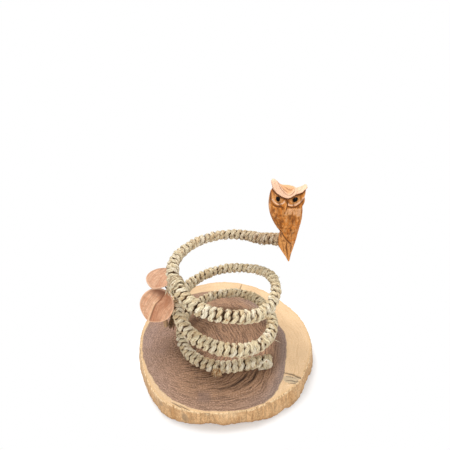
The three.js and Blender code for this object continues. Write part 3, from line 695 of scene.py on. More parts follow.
class HOLDER_OT_slab(HolderOperator):
    """Slice of log: a round grid with growth rings, cracks and a grooved bare side"""

    bl_idname = "holder.slab"
    bl_label = "Slice of Log"

    def execute(self, context):
        settings = context.scene.holder_slab
        angle = np.linspace(-180, 180, SLAB_SECTORS, endpoint=False)
        way = np.radians(angle)
        grooves = side_grooves(angle)
        chips = np.clip(wander(angle / 2.3, 31) - 0.35, 0, 1) * 1.6

        def ring(level, inset):
            """One ring at a level from foot to top, drawn in by an inset."""
            wave = 1 + 0.25 * wander(angle / 3 + level * 1.7, 24)
            reach = slab_edge(angle, level) + grooves * wave * (settings.bark_relief / MM) - inset
            return np.stack([reach * np.cos(way), reach * np.sin(way)], -1) + SLAB_MIDDLE

        def shrunk(rim, shares):
            """Copies of a ring, drawn in towards the slab's middle."""
            return SLAB_MIDDLE + (rim - SLAB_MIDDLE) * np.reshape(shares, (-1, 1, 1))

        def raised(plans, height):
            """Rings with a height for all, for each ring or for each point."""
            height = np.broadcast_to(height, plans.shape[:-1])
            return np.concatenate([plans, height[..., None]], -1)

        # Top: the rim and its smaller copies, at the slab's top less cracks and patch, plus saw marks
        # and a low wave, the sine of the number of growth rings counted from the pith
        shares = np.sqrt(np.linspace(0.0006, 1, SLAB_TOP_RINGS))
        flat = shrunk(ring(1.0, 0.9 + 0.35 * chips), shares)
        x, y = flat[..., 0], flat[..., 1]
        dark = np.zeros_like(x)
        drop = np.zeros_like(x)
        for line, width, depth in SLAB_CRACKS:
            far, run = near_line(x, y, line)
            thin = width * (0.35 + 0.65 * np.sin(math.pi * np.clip(run, 0.03, 0.97)))
            cut = np.exp(-((far / thin) ** 2))
            dark = np.maximum(dark, cut)
            drop = np.maximum(drop, cut * depth)
        block = ease(1.4, 0.2, near_line(x, y, SUNKEN_PATCH)[0] - 3.2)
        saw = 0.05 * wander((x * 0.3 + y) / 2.2, 33) + 0.05 * grain2(x / 3, y / 3, 34)
        waves = 0.06 * np.sin(ring_share(x, y) * RING_REACH * TURN / (settings.ring_gap / MM))
        z = SLAB_TOP - (drop + block * 0.35) + saw + waves * ease(1, 0.97, shares)[:, None]

        # Side and foot: rings at levels from the top's edge down, drawn in at both edges
        levels = [(1 - 0.45 / SLAB_TOP, 0.25), (1 - 1.1 / SLAB_TOP, 0.0)]
        levels += [(k, 0.0) for k in np.linspace(0.86, 0.12, 9)]
        levels += [(0.05, 0.15), (0.015, 0.6)]
        side = [ring(level, inset + chips * 0.3 * (level > 0.9)) for level, inset in levels]
        side = raised(np.array(side), [[level * SLAB_TOP] for level, _ in levels])
        foot = raised(shrunk(ring(0.0, 1.3), (1.0, 0.8, 0.5, 0.2)), 0)

        rings = np.concatenate([raised(flat, z), side, foot])
        poles = np.array([[*SLAB_MIDDLE, z[0].mean()], [*SLAB_MIDDLE, 0.0]])
        px, py, _ = np.concatenate([rings.reshape(-1, 3), poles]).T
        reach, turned = polar(px, py, SLAB_MIDDLE)
        _, pith_way = polar(px, py, PITH)
        share = ring_share(px, py) * RING_REACH
        heart = reach - around(HEARTWOOD_POINTS, np.degrees(turned))
        rim = around(SLAB_EDGE_POINTS, np.degrees(turned)) - reach
        crack, patch = np.zeros((2, len(px)))
        crack[:dark.size], patch[:dark.size] = dark.ravel(), block.ravel()
        shape = Shape()
        shape.add(
            rings, poles, np.repeat([0, 1, 0], [len(flat) - 1, len(side) + 1, len(foot) - 1]),
            ring=np.stack([share, heart, crack], -1),
            rim=np.stack([rim, patch, np.degrees(pith_way)], -1),
            way=np.stack([share, np.cos(pith_way), np.sin(pith_way)], -1),
        )
        shape.build("log_slice", "base_slab", "log_slice", end_grain(settings), bare_side(settings))
        return {"FINISHED"}


def end_grain(settings):
    """Sawn face: heartwood with growth rings, streaks along them and a painted sheen on its far left,
    a pale sapwood ring with painted shade on its left and front-left, dark arcs, and cracks coloured
    near black as painted shade."""
    f = Finish("end_grain", Roughness=0.62, Specular_IOR_Level=0.3)
    place = f.place()
    x, y, _ = f.split(place)
    ring, heart, crack = f.split("ring")
    rim, block, way = f.split("rim")
    _, east, north = f.split("way")
    bend = f.noise(place, 0.045, 3.0)
    waved = ring + (bend - 0.5) * 7.0
    gaps = waved * (MM / settings.ring_gap)
    strength = f.noise(f.join(gaps, 0.0, 0.0), 0.55, 3.0, 0.6)
    streak = f.noise(f.join(waved * 0.9, east * 7.0, north * 7.0), 1.0, 3.0, 0.6)
    hair = f.noise(f.join(waved * 2.4, east * 12.0, north * 12.0), 1.0, 2.0, 0.6)
    line = gaps.part()
    late = line.step(0.4, 0.9) * (1 - line.step(0.9, 1.0))
    rings = late * strength.step(0.3, 0.7) * 0.6 + (streak - 0.45).most(0.0) * 2.6
    rings = rings + (hair - 0.5).most(0.0) * 2.6
    arcs = crack * 0.0
    for first, last, begin, end, width, level in RING_ARCS:
        slope = RING_REACH * (last - first) / (end - begin)
        off = (ring + bend * 1.6 - 0.8 - RING_REACH * first - (way - begin) * slope).size()
        window = way.step(begin - 3, begin + 4) * (1 - way.step(end - 4, end + 3))
        arcs = arcs.most(off.step(width, width * 0.2) * window * level)
    arcs = arcs * streak.step(0.25, 0.5)
    patches = f.noise(place, 0.028, 3.0)
    speck = f.noise(place, 1.7, 2.0, 0.6)
    dots = f.noise(place, 0.9, 2.0, 0.5)
    grit = f.noise(place, 0.75, 2.0, 0.7)
    edge = heart + (f.noise(place, 0.12, 3.0) - 0.5) * 3.0
    rim_dark = edge.step(-19.0, -1.5) * (x.step(0.0, 60.0) * 0.7 + 0.3)
    # Painted sheen: the far left of the heartwood is paler, in patches.
    left = x.step(-35.0, -85.0) * patches.step(0.25, 0.7)
    smear = (x - SMEAR[0]).size().step(9.0, 3.0) * (y - SMEAR[1]).size().step(9.0, 2.0)
    wood = f.coats(
        tint(settings.heartwood, 1.12),
        (patches.step(0.35, 0.68), settings.heartwood, 1.3),
        (rim_dark, settings.heartwood_rim),
        (left * 0.65, settings.heartwood_left_sheen),
        (rings.step(0.0, 0.75) * (0.8 - rim_dark * 0.5), "4a3122"),
        (dots.step(0.6, 0.72) * 0.5, "cfa996"),
        (grit.step(0.54, 0.68) * 0.55, "c9a48e"),
        (grit.step(0.46, 0.32) * 0.55, "55402f"),
        (smear * 0.45, "6a5650"),
        (arcs, "3a261b"),
    )
    sap = f.coats(
        tint(settings.sapwood),
        (patches.step(0.3, 0.7), settings.sapwood, 0.9),
        (rings.step(0.1, 0.9) * 0.25, "b4854e"),
        # Painted shade: the sapwood is darker towards the left and at the front-left.
        (x.step(-20.0, -75.0) * 0.8, settings.sapwood, 0.76),
        (y.step(-55.0, -90.0) * x.step(20.0, -30.0) * 0.6, settings.sapwood, 0.7),
        (grit.step(0.54, 0.68) * 0.4, "f6e0bf"),
        (grit.step(0.46, 0.32) * 0.4, "cc9a61"),
        (patches.step(0.5, 0.6) * grit.step(0.6, 0.7) * 0.5, "d79b5c"),
        (rim.step(4.0, 0.5) * 0.45, "d8ab74"),
        (block * 0.6, "b9ab92"),
    )
    colour = f.mix(edge.step(0.7, -0.7), sap, wood)
    specks = (speck - 0.5).size().step(0.05, 0.3) * 0.4
    colour = f.coats(colour, (specks, "6d5039"), mode="MULTIPLY")
    # Painted shade inside the cracks: they are coloured near black.
    colour = f.coats(colour, (crack * 0.92, "2a1b12"))
    return f.finish(colour, speck * 0.25 + 0.5, rings * -0.5 + speck * 0.6 - arcs, depth=0.00025)


def bare_side(settings):
    """Long grain where the bark was: upright streaks, darker towards the foot, with a painted highlight
    along the rim.
    """
    f = Finish("bare_side", Roughness=0.7, Specular_IOR_Level=0.3)
    _, _, z = f.split(f.place())
    streak = f.noise(f.place(0.1), 0.5, 4.0, 0.65)
    fine = f.noise(f.place(0.12), 1.8, 2.0, 0.6)
    broad = f.noise(f.place(0.05), 0.13, 3.0, 0.6)
    cloud = f.noise(f.place(), 0.05, 3.0)
    grit = f.noise(f.place(0.6), 0.75, 2.0, 0.7)
    stain = f.noise(f.place(0.5), 0.09, 2.0, 0.5)
    # Painted highlight: a pale line along the top edge of the side, broken by the streaks.
    rim = z.step(SLAB_TOP - 2.2, SLAB_TOP - 0.5) * streak.step(0.6, 0.4)
    colour = f.coats(
        tint(settings.side, 1.06),
        (streak.step(0.35, 0.68) * 0.8, settings.side, 0.54),
        (cloud.step(0.45, 0.72) * 0.5, "eccda4"),
        (broad.step(0.48, 0.66) * 0.5, "a9763f"),
        (fine.step(0.54, 0.7) * 0.45, "7d5330"),
        (grit.step(0.52, 0.7) * 0.45, "efcf9c"),
        (grit.step(0.48, 0.32) * 0.45, "8d6236"),
        (stain.step(0.6, 0.72) * 0.5, "86735c"),
        (z.step(6.0, 0.0) * 0.5, "94683c"),
        (rim * 0.7, "f3dcb4"),
    )
    return f.finish(colour, streak * 0.2 + 0.6, streak + fine * 0.5, depth=0.0008)


# The rope

# Points of a ply in one wrap, points round it, and its strands
WRAP_STEPS = 48
PLY_SIDES = 16
PLY_LOBES = 4
# Radius of the circle on which the cord's middle goes round the rope
CORD_RADIUS = ROPE_RADIUS - 2.4
# Turn of a ply's strands from one ring of its points to the next
PLY_TWIST = 0.2
# How far a wrap leans along the rope
WRAP_LEAN = 0.8
# How far the plies stand apart along the rope and outwards, as shares of a ply's radius
PLY_SPLIT = 0.64
PLY_LIFT = 0.42
# Radius of the binding at turn angles: thin at the back, fat at the front of two turns
BINDING_RADII = (
    (80, 6.7), (147, 6.7), (290, 6.3), (380, 6.9), (462, 7.5), (560, 6.9), (640, 6.3), (700, 5.7),
    (725, 5.9), (755, 6.9), (780, 7.2), (822, 7.5), (870, 7.2), (900, 6.8), (940, 6.0), (1000, 6.1),
    (1043, 7.2),
)
# How much browner the fibre is at turn angles, from 0 to 1
BINDING_BROWNING = (
    (80, 0.0), (100, 0.2), (150, 0.0), (290, 0.15), (440, 0.0), (700, 0.2), (760, 0.0), (860, 0.0),
    (900, 0.2), (940, 0.3), (1000, 0.4), (1030, 0.6), (1043, 0.9),
)
# How far from the tail's end the wraps begin
TAIL_TRIM = 3.8
# Strands folded over the cut end: how far each reaches past the end, its lowest and highest level
# beside the rope's middle, how far out it lies, its radius and how far back along the rope it goes
FOLDED_STRANDS = (
    (0.5, -5.2, 4.6, 6.4, 1.35, 13.0), (-1.8, -2.9, 5.8, 6.6, 1.6, 8.0), (-4.2, -1.2, 4.4, 6.9, 1.6, 8.0),
    (-6.2, 0.6, 2.8, 7.0, 1.3, 9.0),
)
# Turn angle of the one long stray fibre
STRAY_FIBRE = 391
# Turn angles between which the coil leaves the slab
COIL_ON_SLAB = 150
COIL_OFF_SLAB = 215
# How far short of the arm's end the packed fibre stops, behind the last spiral
END_TRIM = 2.2


def binding_at(length):
    """Middle, direction, side, upper side and outer radius of the binding. Where the rope lies on
    the slab, its middle comes down by what the radius falls short."""
    turn = turn_at(length)
    radius = line_at(turn, BINDING_RADII)
    middle, along, side, above = rope_at(length)
    drop = (ROPE_RADIUS - radius) * ease(COIL_OFF_SLAB, COIL_ON_SLAB, turn)
    return middle - drop[..., None] * np.array([0, 0, 1.0]), along, side, above, radius


def wrap_ply(first, last, ply, settings):
    """One ply of the binding cord between two wrap counts, as add_ply takes it. The cord's middle
    circles the rope once a wrap while it moves on by one pitch; the ply circles the cord's middle
    once a lay. Smooth seeded noise varies the spacing, the tightness and the thickness."""
    pitch = settings.pitch / MM
    thick = settings.ply_diameter / MM / 2
    wraps = np.linspace(first, last, max(8, int((last - first) * WRAP_STEPS)))
    turn = TURN * wraps
    apart = thick * (settings.plies > 1)
    cord = turn * CORD_RADIUS
    twist = TURN * (cord / (settings.lay / MM) + ply / settings.plies) + 1.2 * wander(wraps * 1.3, 41)
    spacing = pitch * (wraps + 0.12 * wander(wraps * 0.9, 42))
    lean = WRAP_LEAN * (1 + 0.6 * wander(wraps * 0.5, 46)) * np.sin(turn + 0.8)
    place = spacing + lean + PLY_SPLIT * apart * np.sin(twist)
    middle, _, side, above, radius = binding_at(place)
    out = round_about(turn, side, above)
    loose = 0.3 * wander(wraps * 1.7, 43) + 0.2 * wander(wraps * 3.1, 44)
    reach = radius - thick - 1.0 + loose + PLY_LIFT * apart * np.cos(twist)
    girth = thick * (1 + 0.13 * wander(wraps * 2.3 + 7 * ply, 45))
    wear = line_at(turn_at(spacing), BINDING_BROWNING)
    return middle + out * reach[:, None], out, girth, cord, ply + 1, middle, radius, wear


def add_ply(shape, path, out, girth, run, seed, axis, radius, wear=0.0, pale=0.0):
    """Adds a ply's tube of twisted strands, with the fibre's own coordinates (round, round, along)
    and how each point lies: how deep in the wraps and how far between the strands, which the finish
    darkens as painted shade, and the ply's tone. The last values are how much browner and how much
    paler the fibre is."""
    rows = len(path)
    swell = strand_swell(rows, PLY_SIDES, PLY_LOBES, 0.09, PLY_TWIST)
    rings = tube_rings(path, out, girth, PLY_SIDES, swell)
    a = round_angles(PLY_SIDES) + PLY_TWIST * np.arange(rows)[:, None]
    run = np.broadcast_to((run * 0.1 + 17.3 * seed)[:, None], a.shape)
    far = np.linalg.norm(rings - axis[:, None, :], axis=-1)
    # Painted shade: how deep a point lies between the wraps, for the finish to darken it.
    deep = ease(-1.05, -2.2, far - np.reshape(radius, (-1, 1)))
    tone = wander(run * 1.1, 47 + seed) - pale
    shape.add(
        rings, path[[0, -1]], fibre=np.stack([np.cos(a), np.sin(a), run], -1),
        lie=np.stack([deep, ease(1.0, 0.9, swell), tone], -1), wear=np.reshape(wear, (-1, 1, 1)),
    )


def add_core(shape, start, end):
    """The packed fibre under the wraps: a plain tube, a little uneven."""
    length = np.linspace(start, end, max(6, int((end - start) / 1.2)))
    middle, _, _, above, radius = binding_at(length)
    inner = radius - 3.0 + 0.2 * wander(length / 3.0, 51)
    shape.add_tube(middle, above, inner, 16, kind=1, fibre=0, lie=(1, 0, 0), wear=(1, 0, 0))


def add_hair(shape, root, way, sag, reach, thick, kind=0, wear=0.0):
    """One stray fibre: a taper that leaves its root along a way and bows by a sag."""
    t = np.linspace(0, 1, 7)[:, None]
    path = root + way * reach * t + sag * t * t
    guide = np.cross(way, [0.3, 0.5, 0.8])
    fibre = (0, 0, root[0])
    shape.add_tube(path, guide, thick * (1 - 0.7 * t), 4, kind=kind, fibre=fibre, lie=0, wear=wear)


def add_hairs(shape, start, end, count, seed):
    """Stray fibres that leave the wraps at random places and directions."""
    rng = np.random.default_rng(seed)
    for _ in range(count):
        turn = rng.uniform(0, TURN)
        middle, along, side, above, radius = binding_at(rng.uniform(start, end))
        out = round_about(turn, side, above)
        across = np.cross(along, out) * rng.choice([-1, 1])
        way = unit(across + along * rng.uniform(-0.6, 0.6) + out * rng.uniform(0.15, 0.6))
        sag = out * rng.uniform(-1.0, 0.8)
        root = middle + out * (radius - 0.5)
        add_hair(shape, root, way, sag, rng.uniform(2.0, 5.5), rng.uniform(0.12, 0.24))


class HOLDER_OT_rope(HolderOperator):
    """Fibre binding of the coil, one piece for each length between two joints"""

    bl_idname = "holder.rope"
    bl_label = "Rope Binding"

    def execute(self, context):
        settings = context.scene.holder_rope
        finishes = straw_finish(settings), core_finish(), fray_finish()
        pitch = settings.pitch / MM
        start, before = 0.0, 0.0
        for number, (name, node, until, short) in enumerate(BINDINGS):
            end = length_at(until)
            shape = Shape()
            first = (start or TAIL_TRIM + 1.5) / pitch + before
            for ply in range(settings.plies):
                add_ply(shape, *wrap_ply(first, end / pitch - short, ply, settings))
            core_end = end if until else end - END_TRIM
            add_core(shape, start or TAIL_TRIM + 1.0, core_end)
            add_hairs(shape, start, end, int((end - start) / 6), 60 + number)
            if node == "rope_tail":
                self.add_cut_end(shape, settings)
            elif node == "rope_foot_turn":
                self.add_fray(shape)
            elif node == "rope_lower_turn":
                middle, _, _, _, radius = binding_at(length_at(STRAY_FIBRE))
                root = middle + unit(middle * [1, 1, 0]) * (radius - 1)
                add_hair(shape, root, np.array([0.93, -0.2, -0.3]), np.array([0, 0, -0.8]), 8.0, 0.32)
            elif node == "rope_top_turn":
                self.add_spiral(shape, settings, core_end, 1, 0.7)
            shape.build(name, node, "straw_rope", *finishes)
            start, before = end, short
        return {"FINISHED"}

    def add_spiral(self, shape, settings, length, facing, wear=0.0):
        """Closes an end of the rope: a ply laid in a spiral, its inner turns further out."""
        middle, along, side, above, radius = binding_at(length)
        thick = settings.ply_diameter / MM / 2
        t = np.linspace(0, 1, 120)
        reach = (radius - thick * 1.1) * (1 - t) ** 0.75
        out = round_about(TURN * 1.9 * t, side, above)
        path = middle + out * reach[:, None] + facing * (1.4 * t - 0.6)[:, None] * along
        add_ply(shape, path, facing * along, thick * 0.9, t * 60, 3, path, thick * 0.9, wear)

    def add_cut_end(self, shape, settings):
        """The rope's cut end: a ply laid in a spiral over it, and nested strands that come
        along the rope's front low down, turn up over the end and go back higher up."""
        self.add_spiral(shape, settings, TAIL_TRIM, -1)
        middle, along, side, above, _ = binding_at(TAIL_TRIM)
        a = np.linspace(-1, 1, 70) * math.pi / 2
        for number, (past, low, high, out, girth, back) in enumerate(FOLDED_STRANDS):
            run = back - (back + past) * np.cos(a) ** 0.55
            height = (low + high) / 2 + (high - low) / 2 * np.sin(a)
            near = -np.sqrt(np.maximum(out ** 2 - height ** 2 * 0.75, 4)) * (1 - 0.25 * ease(2, -2, run))
            path = middle + run[:, None] * along + near[:, None] * side + height[:, None] * above
            pale = 0.3 if number else 0.9
            add_ply(shape, path, side, girth, (a + 2) * 9, 4 + number, path, girth, pale=pale)

    def add_fray(self, shape):
        """The frayed joint at the front of the first turn: reddish fibre ends that hang out."""
        rng = np.random.default_rng(77)
        middle, along, _, _, radius = binding_at(length_at(99))
        outward = unit(middle * [1, 1, 0])
        for _ in range(64):
            lift = rng.uniform(-1.1, 0.75)
            out = unit(round_about(lift, outward, [0, 0, 1]))
            root = middle + out * (radius - 0.8) + along * rng.uniform(-4.4, 4.4)
            fall = np.array([0, 0, -1]) * rng.uniform(0.2, 1.0)
            way = unit(out * 0.35 + fall + along * rng.uniform(-0.5, 0.5))
            sag = outward * rng.uniform(-0.5, 1.6)
            add_hair(shape, root, way, sag, rng.uniform(2.0, 5.4), rng.uniform(0.35, 0.8), kind=2)


def straw_finish(settings):
    """Dry plant fibre: fine streaks along the ply, painted shade deep between the wraps and between the
    strands, red flecks.
    """
    f = Finish("straw_fibre", Roughness=0.8, Specular_IOR_Level=0.3)
    fibre = f.attribute("fibre")
    deep, valley_shade, tone = f.split("lie")
    wear, _, _ = f.split("wear")
    place = f.place()
    streak = f.noise(f.stretch(fibre, (3.4, 3.4, 0.9)), 1.0, 3.0, 0.65)
    fine = f.noise(f.stretch(fibre, (10.0, 10.0, 1.6)), 1.0, 2.0, 0.6)
    cloud = f.noise(place, 0.07, 3.0)
    blotch = f.noise(place, 0.4, 2.0)
    fleck = f.noise(place, 0.42, 2.0, 0.4)
    lump = f.noise(place, 0.75, 2.0, 0.5)
    colour = f.coats(
        tint(settings.straw, 1.2),
        (streak.step(0.38, 0.6), settings.straw, 0.72),
        (tone.step(0.1, 0.9) * 0.5, "cfae7c"),
        ((0.0 - tone).step(0.2, 0.9) * 0.6, "fdf6e2"),
        (cloud.step(0.55, 0.78) * 0.35, "cdb17c"),
        (lump.step(0.56, 0.72) * 0.4, "b98f5e"),
        (lump.step(0.44, 0.3) * 0.6, "fff6dc"),
        (blotch.step(0.58, 0.72) * 0.5, "b98350"),
        (fine.step(0.55, 0.68) * 0.5, "865f30"),
        (fleck.step(0.66, 0.73) * 0.8, settings.fleck),
        # Painted shade in the valleys between a ply's strands.
        (valley_shade * 0.5, "99703a"),
        (wear * (0.45 + blotch.step(0.4, 0.6) * 0.35), "8d6a4c"),
        # Painted shade deep between the wraps.
        (deep, settings.shade, 0.7),
    )
    return f.finish(colour, None, streak * 0.7 + fine * 0.5, depth=0.0009)


def core_finish():
    """Packed fibre under the wraps, coloured near black as painted shade."""
    f = Finish("packed_fibre", Roughness=0.95, Specular_IOR_Level=0.1)
    cloud = f.noise(f.place(), 0.9, 3.0)
    colour = f.coats(tint("20160d"), (cloud.step(0.35, 0.7), "54402a"))
    return f.finish(colour, None, cloud, depth=0.0006)


def fray_finish():
    """Loose ends of fibre, reddish brown at the tips."""
    f = Finish("frayed_fibre", Roughness=0.85, Specular_IOR_Level=0.2)
    cloud = f.noise(f.place(), 0.6, 2.0)
    colour = f.coats(tint("a8764a"), (cloud.step(0.35, 0.65), "dcc39a"))
    return f.finish(colour, None, cloud, depth=0.0002)


# The owl

OWL_FROM_ARM = np.array([1.9, -7.2, 30.6])
OWL_OUTLINE = np.array([
    [14.3, 27.5], [13.5, 22.3], [12.3, 19.5], [13.8, 15], [12.1, 11], [12.8, 3], [12.6, -5],
    [11.4, -13.5], [9.8, -26], [8.4, -34.5], [6.6, -43], [5.1, -52], [1.2, -46], [-3, -39.5],
    [-6.6, -33], [-6.9, -26], [-5.8, -19], [-10.3, -12], [-13.8, -6], [-16.6, 0.5], [-18.4, 8],
    [-18.6, 15], [-17.6, 22.5], [-16.2, 26], [-17.5, 31.6], [-16.1, 34.2], [-12.6, 32.6], [-8.6, 29],
    [-2, 28.1], [3, 26.8], [6, 25.4], [10.4, 26.8], [13.2, 28.4],
])
OWL_DEPTHS = ((-52, 2.4, 2), (-36, 4.8, 4.2), (-22, 8, 7), (-2, 10.5, 9), (16, 10.2, 9.2), (35, 6.5, 5.5))
OWL_ROUNDNESS = 3.4
OWL_SECTORS = 360
OWL_RINGS = 110
# Each eye bead: its middle, the angle of its long way, and half its length and width
EYES = (
    ("eye_bead_left", "owl_eye_left", (-12.3, 19.0), -66, 2.25, 1.85),
    ("eye_bead_right", "owl_eye_right", (2.9, 18.0), 41, 2.45, 1.85),
)
# Half a bead's thickness, in millimetres
EYE_DEPTH = 1.9
BROW_LOW = (
    (-19.7, 31.6), (-17.9, 29), (-16, 25.7), (-13.8, 23.6), (-11.3, 21.9), (-8.8, 20.6), (-6, 19.4),
    (-3.7, 18.9), (-1.2, 19.4), (1.2, 20.4), (3.2, 21.4), (6.5, 22), (9.4, 23.1), (10.9, 24.7), (16.3, 27),
)
BROW_HIGH = (
    (-19.7, 44), (-14.2, 35.7), (-12.5, 33.2), (-11.6, 30.4), (-10.3, 27.6), (-8.1, 24.7), (-5.5, 22.2),
    (-3.4, 20.9), (-1.7, 20.9), (0.3, 22.1), (2.7, 24.1), (3.6, 26.5), (4.4, 30), (16.3, 44),
)
# The lower lids and the cuts under them
LIDS = (
    ((-16.4, 17.2), (-15.1, 15.5), (-13.3, 14.2), (-10.8, 13.7), (-7.9, 14.9), (-6.6, 16.6)),
    ((-3, 14.8), (-2.8, 13.5), (0.6, 12.9), (3.5, 13.3), (5.9, 14.8), (8.3, 16.5), (10.2, 19)),
)
UNDER_LIDS = (
    ((-17.4, 16.5), (-17, 14.6), (-15.3, 12), (-11.9, 11.2), (-8.9, 11.4), (-7.3, 10.5)),
    ((-3.2, 11.6), (0.4, 10.5), (3.8, 10.8), (6.9, 12.8), (10.1, 14.9), (11.8, 17.5)),
)
# Cuts in the owl's front: the points that each runs through, its width, its depth and how dark
OWL_CUTS = (
    (((-17.5, 28), (-17.6, 22.2), (-17.6, 15.6), (-17, 13)), 0.65, 0.9, 0.95),
    (((-12, 4.8), (-12.6, 0.5), (-13.8, -3.4)), 1.0, 0.7, 0.75),
    (((-9.6, 0.5), (-8.7, -4), (-7.3, -8.8), (-5.9, -14.5)), 0.8, 1.0, 0.75),
    # This cut and the next are shallow and run along the left and right outline, where they darken the
    # body's edges.
    (((-17.2, 3), (-14.7, -2.5), (-12.8, -6), (-10.4, -10)), 0.7, 0.3, 0.5),
    (((10.6, 8), (9.8, 0), (9, -6), (8.2, -15), (6.6, -27)), 0.9, 0.3, 0.5),
    (((-11.9, 10.6), (-11.8, 5.5)), 0.8, 0.5, 0.5),
    (((-7.9, 10.6), (-7.9, 8)), 0.7, 0.6, 0.75),
    (((-15.2, 9.5), (-14.8, 6), (-15.4, 3)), 0.6, 0.5, 0.4),
    (((-10.2, 4), (-10.8, 0), (-10.4, -4)), 0.7, 0.5, 0.4),
    (((1.1, 9.8), (1.8, 3.6)), 0.7, 0.4, 0.4),
    (((6.2, 9.4), (6.9, 4.4)), 0.7, 0.4, 0.3),
    (((1.9, 1.8), (2.3, -3), (2.7, -7.5)), 1.0, 0.8, 0.75),
    (((4.8, 1.2), (5.2, -3), (5, -8)), 0.7, 0.5, 0.4),
    (((0.3, -3.8), (-0.2, -7)), 0.8, 0.5, 0.5),
    (((1.4, -11.6), (2.6, -13.6)), 1.2, 0.8, 0.85),
    (((5.8, -9), (5.4, -14), (4.6, -19)), 0.8, 0.6, 0.5),
    (((-1, -10.4), (-1.2, -15), (0.8, -19.5)), 0.8, 0.6, 0.5),
    (((-5.2, -6), (-4.9, -10)), 0.6, 0.4, 0.35),
    (((-0.1, -26), (0.6, -31), (1.3, -36.6), (2.6, -42.4), (4.3, -49.5)), 0.7, 0.8, 0.85),
    (((-5.9, -19), (-5.4, -21.6)), 0.8, 0.4, 0.6),
    (((-3.8, -27), (-2.8, -32), (-1.6, -37), (-1, -41)), 0.6, 0.5, 0.5),
    (((4, -28.4), (4.9, -31.6), (5.4, -37), (5.4, -42)), 0.9, 0.6, 0.6),
    (((-15.3, 36), (-14.2, 31.6), (-12.4, 28.2)), 0.4, 0.3, 0.15),
    (((-16, 31), (-14, 27.6), (-10, 24), (-5.6, 21.2)), 0.4, 0.3, 0.2),
    (((11.9, 29.4), (8.8, 26.8), (5, 25)), 0.5, 0.4, 0.45),
    (((10.4, 26.8), (7.5, 24.6), (4, 23.4)), 0.4, 0.3, 0.35),
    (((-9, 28), (-6.5, 25.4), (-3, 23)), 0.5, 0.4, 0.5),
    (((-6.6, 28), (-3.5, 26), (-0.6, 24.4)), 0.5, 0.4, 0.5),
    (((2.2, 26.4), (0.2, 25), (-2.4, 25.6)), 0.5, 0.35, 0.45),
)
# Lit facets of the carving: middle, half width, half height and how pale
OWL_FACETS = (
    (-3.6, -1.4, 1.3, 3.2, 0.5), (-3.2, -8.5, 1.5, 1.8, 0.4), (-4, -12.8, 1.3, 2.6, 0.45),
    (-0.4, -4.7, 1.0, 1.4, 0.35), (6.9, -1.7, 1.1, 2.2, 0.4), (-13.7, 6.6, 1.2, 1.8, 0.45),
    (3.8, -15.5, 1.7, 3.4, 0.5), (-9.2, -8.0, 0.8, 2.4, 0.35), (-15, 2.8, 0.9, 1.6, 0.4),
    (-6.6, 3, 1.4, 2.6, 0.35), (4, -3.6, 0.8, 1.6, 0.35), (2.5, -21.5, 1.5, 1.6, 0.4),
)
BEAK_TOP = np.array([-4.9, 18.4])
BEAK_TIP = np.array([-5.6, 6.2])
BEAK_SIDE = ((-3.9, 18), (-3.7, 13.5), (-4.3, 9), (-5.6, 5.4))
WING_CROSSING = (
    (-9.5, -12.4), (-5.9, -15.1), (-3.6, -18.8), (-1.4, -21.9), (1.1, -24.8), (3.4, -27.4), (6, -30),
    (10.3, -33.5),
)
# Cuts in the owl's back: points, width and depth
OWL_BACK_CUTS = (
    (((-2.0, 12), (-1.0, 0), (0.6, -12), (1.5, -24)), 0.6, 0.9),
    (((-14, 6), (-9, -8), (-3, -18), (1.5, -24)), 0.5, 0.7),
    (((12, 6), (9.5, -8), (5.5, -18), (1.5, -24)), 0.5, 0.7),
    (((1.5, -24), (3.4, -38), (5.0, -50)), 0.5, 0.6),
    (((-16, 17), (-8, 14), (-2, 13), (6, 14), (13, 16)), 0.6, 0.8),
)


def smooth_loop(points, count):
    """A closed curve through points, one cubic from each to the next, read at even steps of its
    length."""
    closed = points[np.arange(-1, len(points) + 2) % len(points)]
    t = np.linspace(0, 1, 24, endpoint=False)[None, :, None]
    dense = cubic(*(closed[k : len(points) + k, None, :] for k in range(4)), t).reshape(-1, 2)
    dense = np.concatenate([dense, dense[:1]])
    run = np.concatenate([[0], np.cumsum(np.linalg.norm(np.diff(dense, axis=0), axis=1))])
    even = np.linspace(0, run[-1], count, endpoint=False)
    return np.stack([np.interp(even, run, dense[:, k]) for k in range(2)], -1)


def owl_depth(z, column):
    """Depth of the owl's front or back at a height, eased between the heights that are given."""
    table = np.array(OWL_DEPTHS)
    k = np.clip(np.searchsorted(table[:, 0], z) - 1, 0, len(table) - 2)
    low, high = table[k], table[k + 1]
    share = ease(0, 1, (z - low[..., 0]) / (high[..., 0] - low[..., 0]))
    return low[..., column] * (1 - share) + high[..., column] * share


def groove(x, z, line, width, depth):
    """A cut along a line: its depth dies away over the width, and at the line's two ends."""
    far, run = near_line(x, z, line)
    ends = ease(0.0, 0.12, run) * ease(1.0, 0.88, run)
    return -depth * np.exp(-((far / width) ** 2)) * (0.3 + 0.7 * ends)


def scoops(x, z, wide, tall, seed):
    """Rows of gouge marks, staggered like tiles. In each, with u and v from -1 to 1 across it, the
    wood goes down by (1 - u squared - 0.8 v squared) to the power 0.6, times a seeded strength."""
    row = z / tall + 0.25 * wander(x / 5.0, seed)
    line = np.floor(row)
    column = x / wide + 0.5 * (line % 2) + 0.3 * wander(line * 1.7, seed + 1)
    u = (column - np.floor(column)) * 2 - 1
    v = (row - line) * 2 - 1
    amount = 0.6 + 0.4 * wander(line * 3.1 + np.floor(column) * 7.7, seed + 2)
    return -np.clip(1 - u * u - v * v * 0.8, 0, 1) ** 0.6 * amount


class Carving:
    """Relief of a carved face in millimetres, and masks of its pale wood with painted highlights, and of
    its dark cuts with painted shade and shadows.
    """

    def __init__(self, x, z):
        self.x, self.z = x, z
        self.relief, self.pale, self.dark = np.zeros((3,) + x.shape)

    def lighten(self, level):
        self.pale = np.maximum(self.pale, level)

    def darken(self, level):
        self.dark = np.maximum(self.dark, level)

    def cut(self, line, width, depth):
        """Cuts a groove along a line. Gives the distance from the line and the share run."""
        self.relief += groove(self.x, self.z, line, width, depth)
        return near_line(self.x, self.z, line)


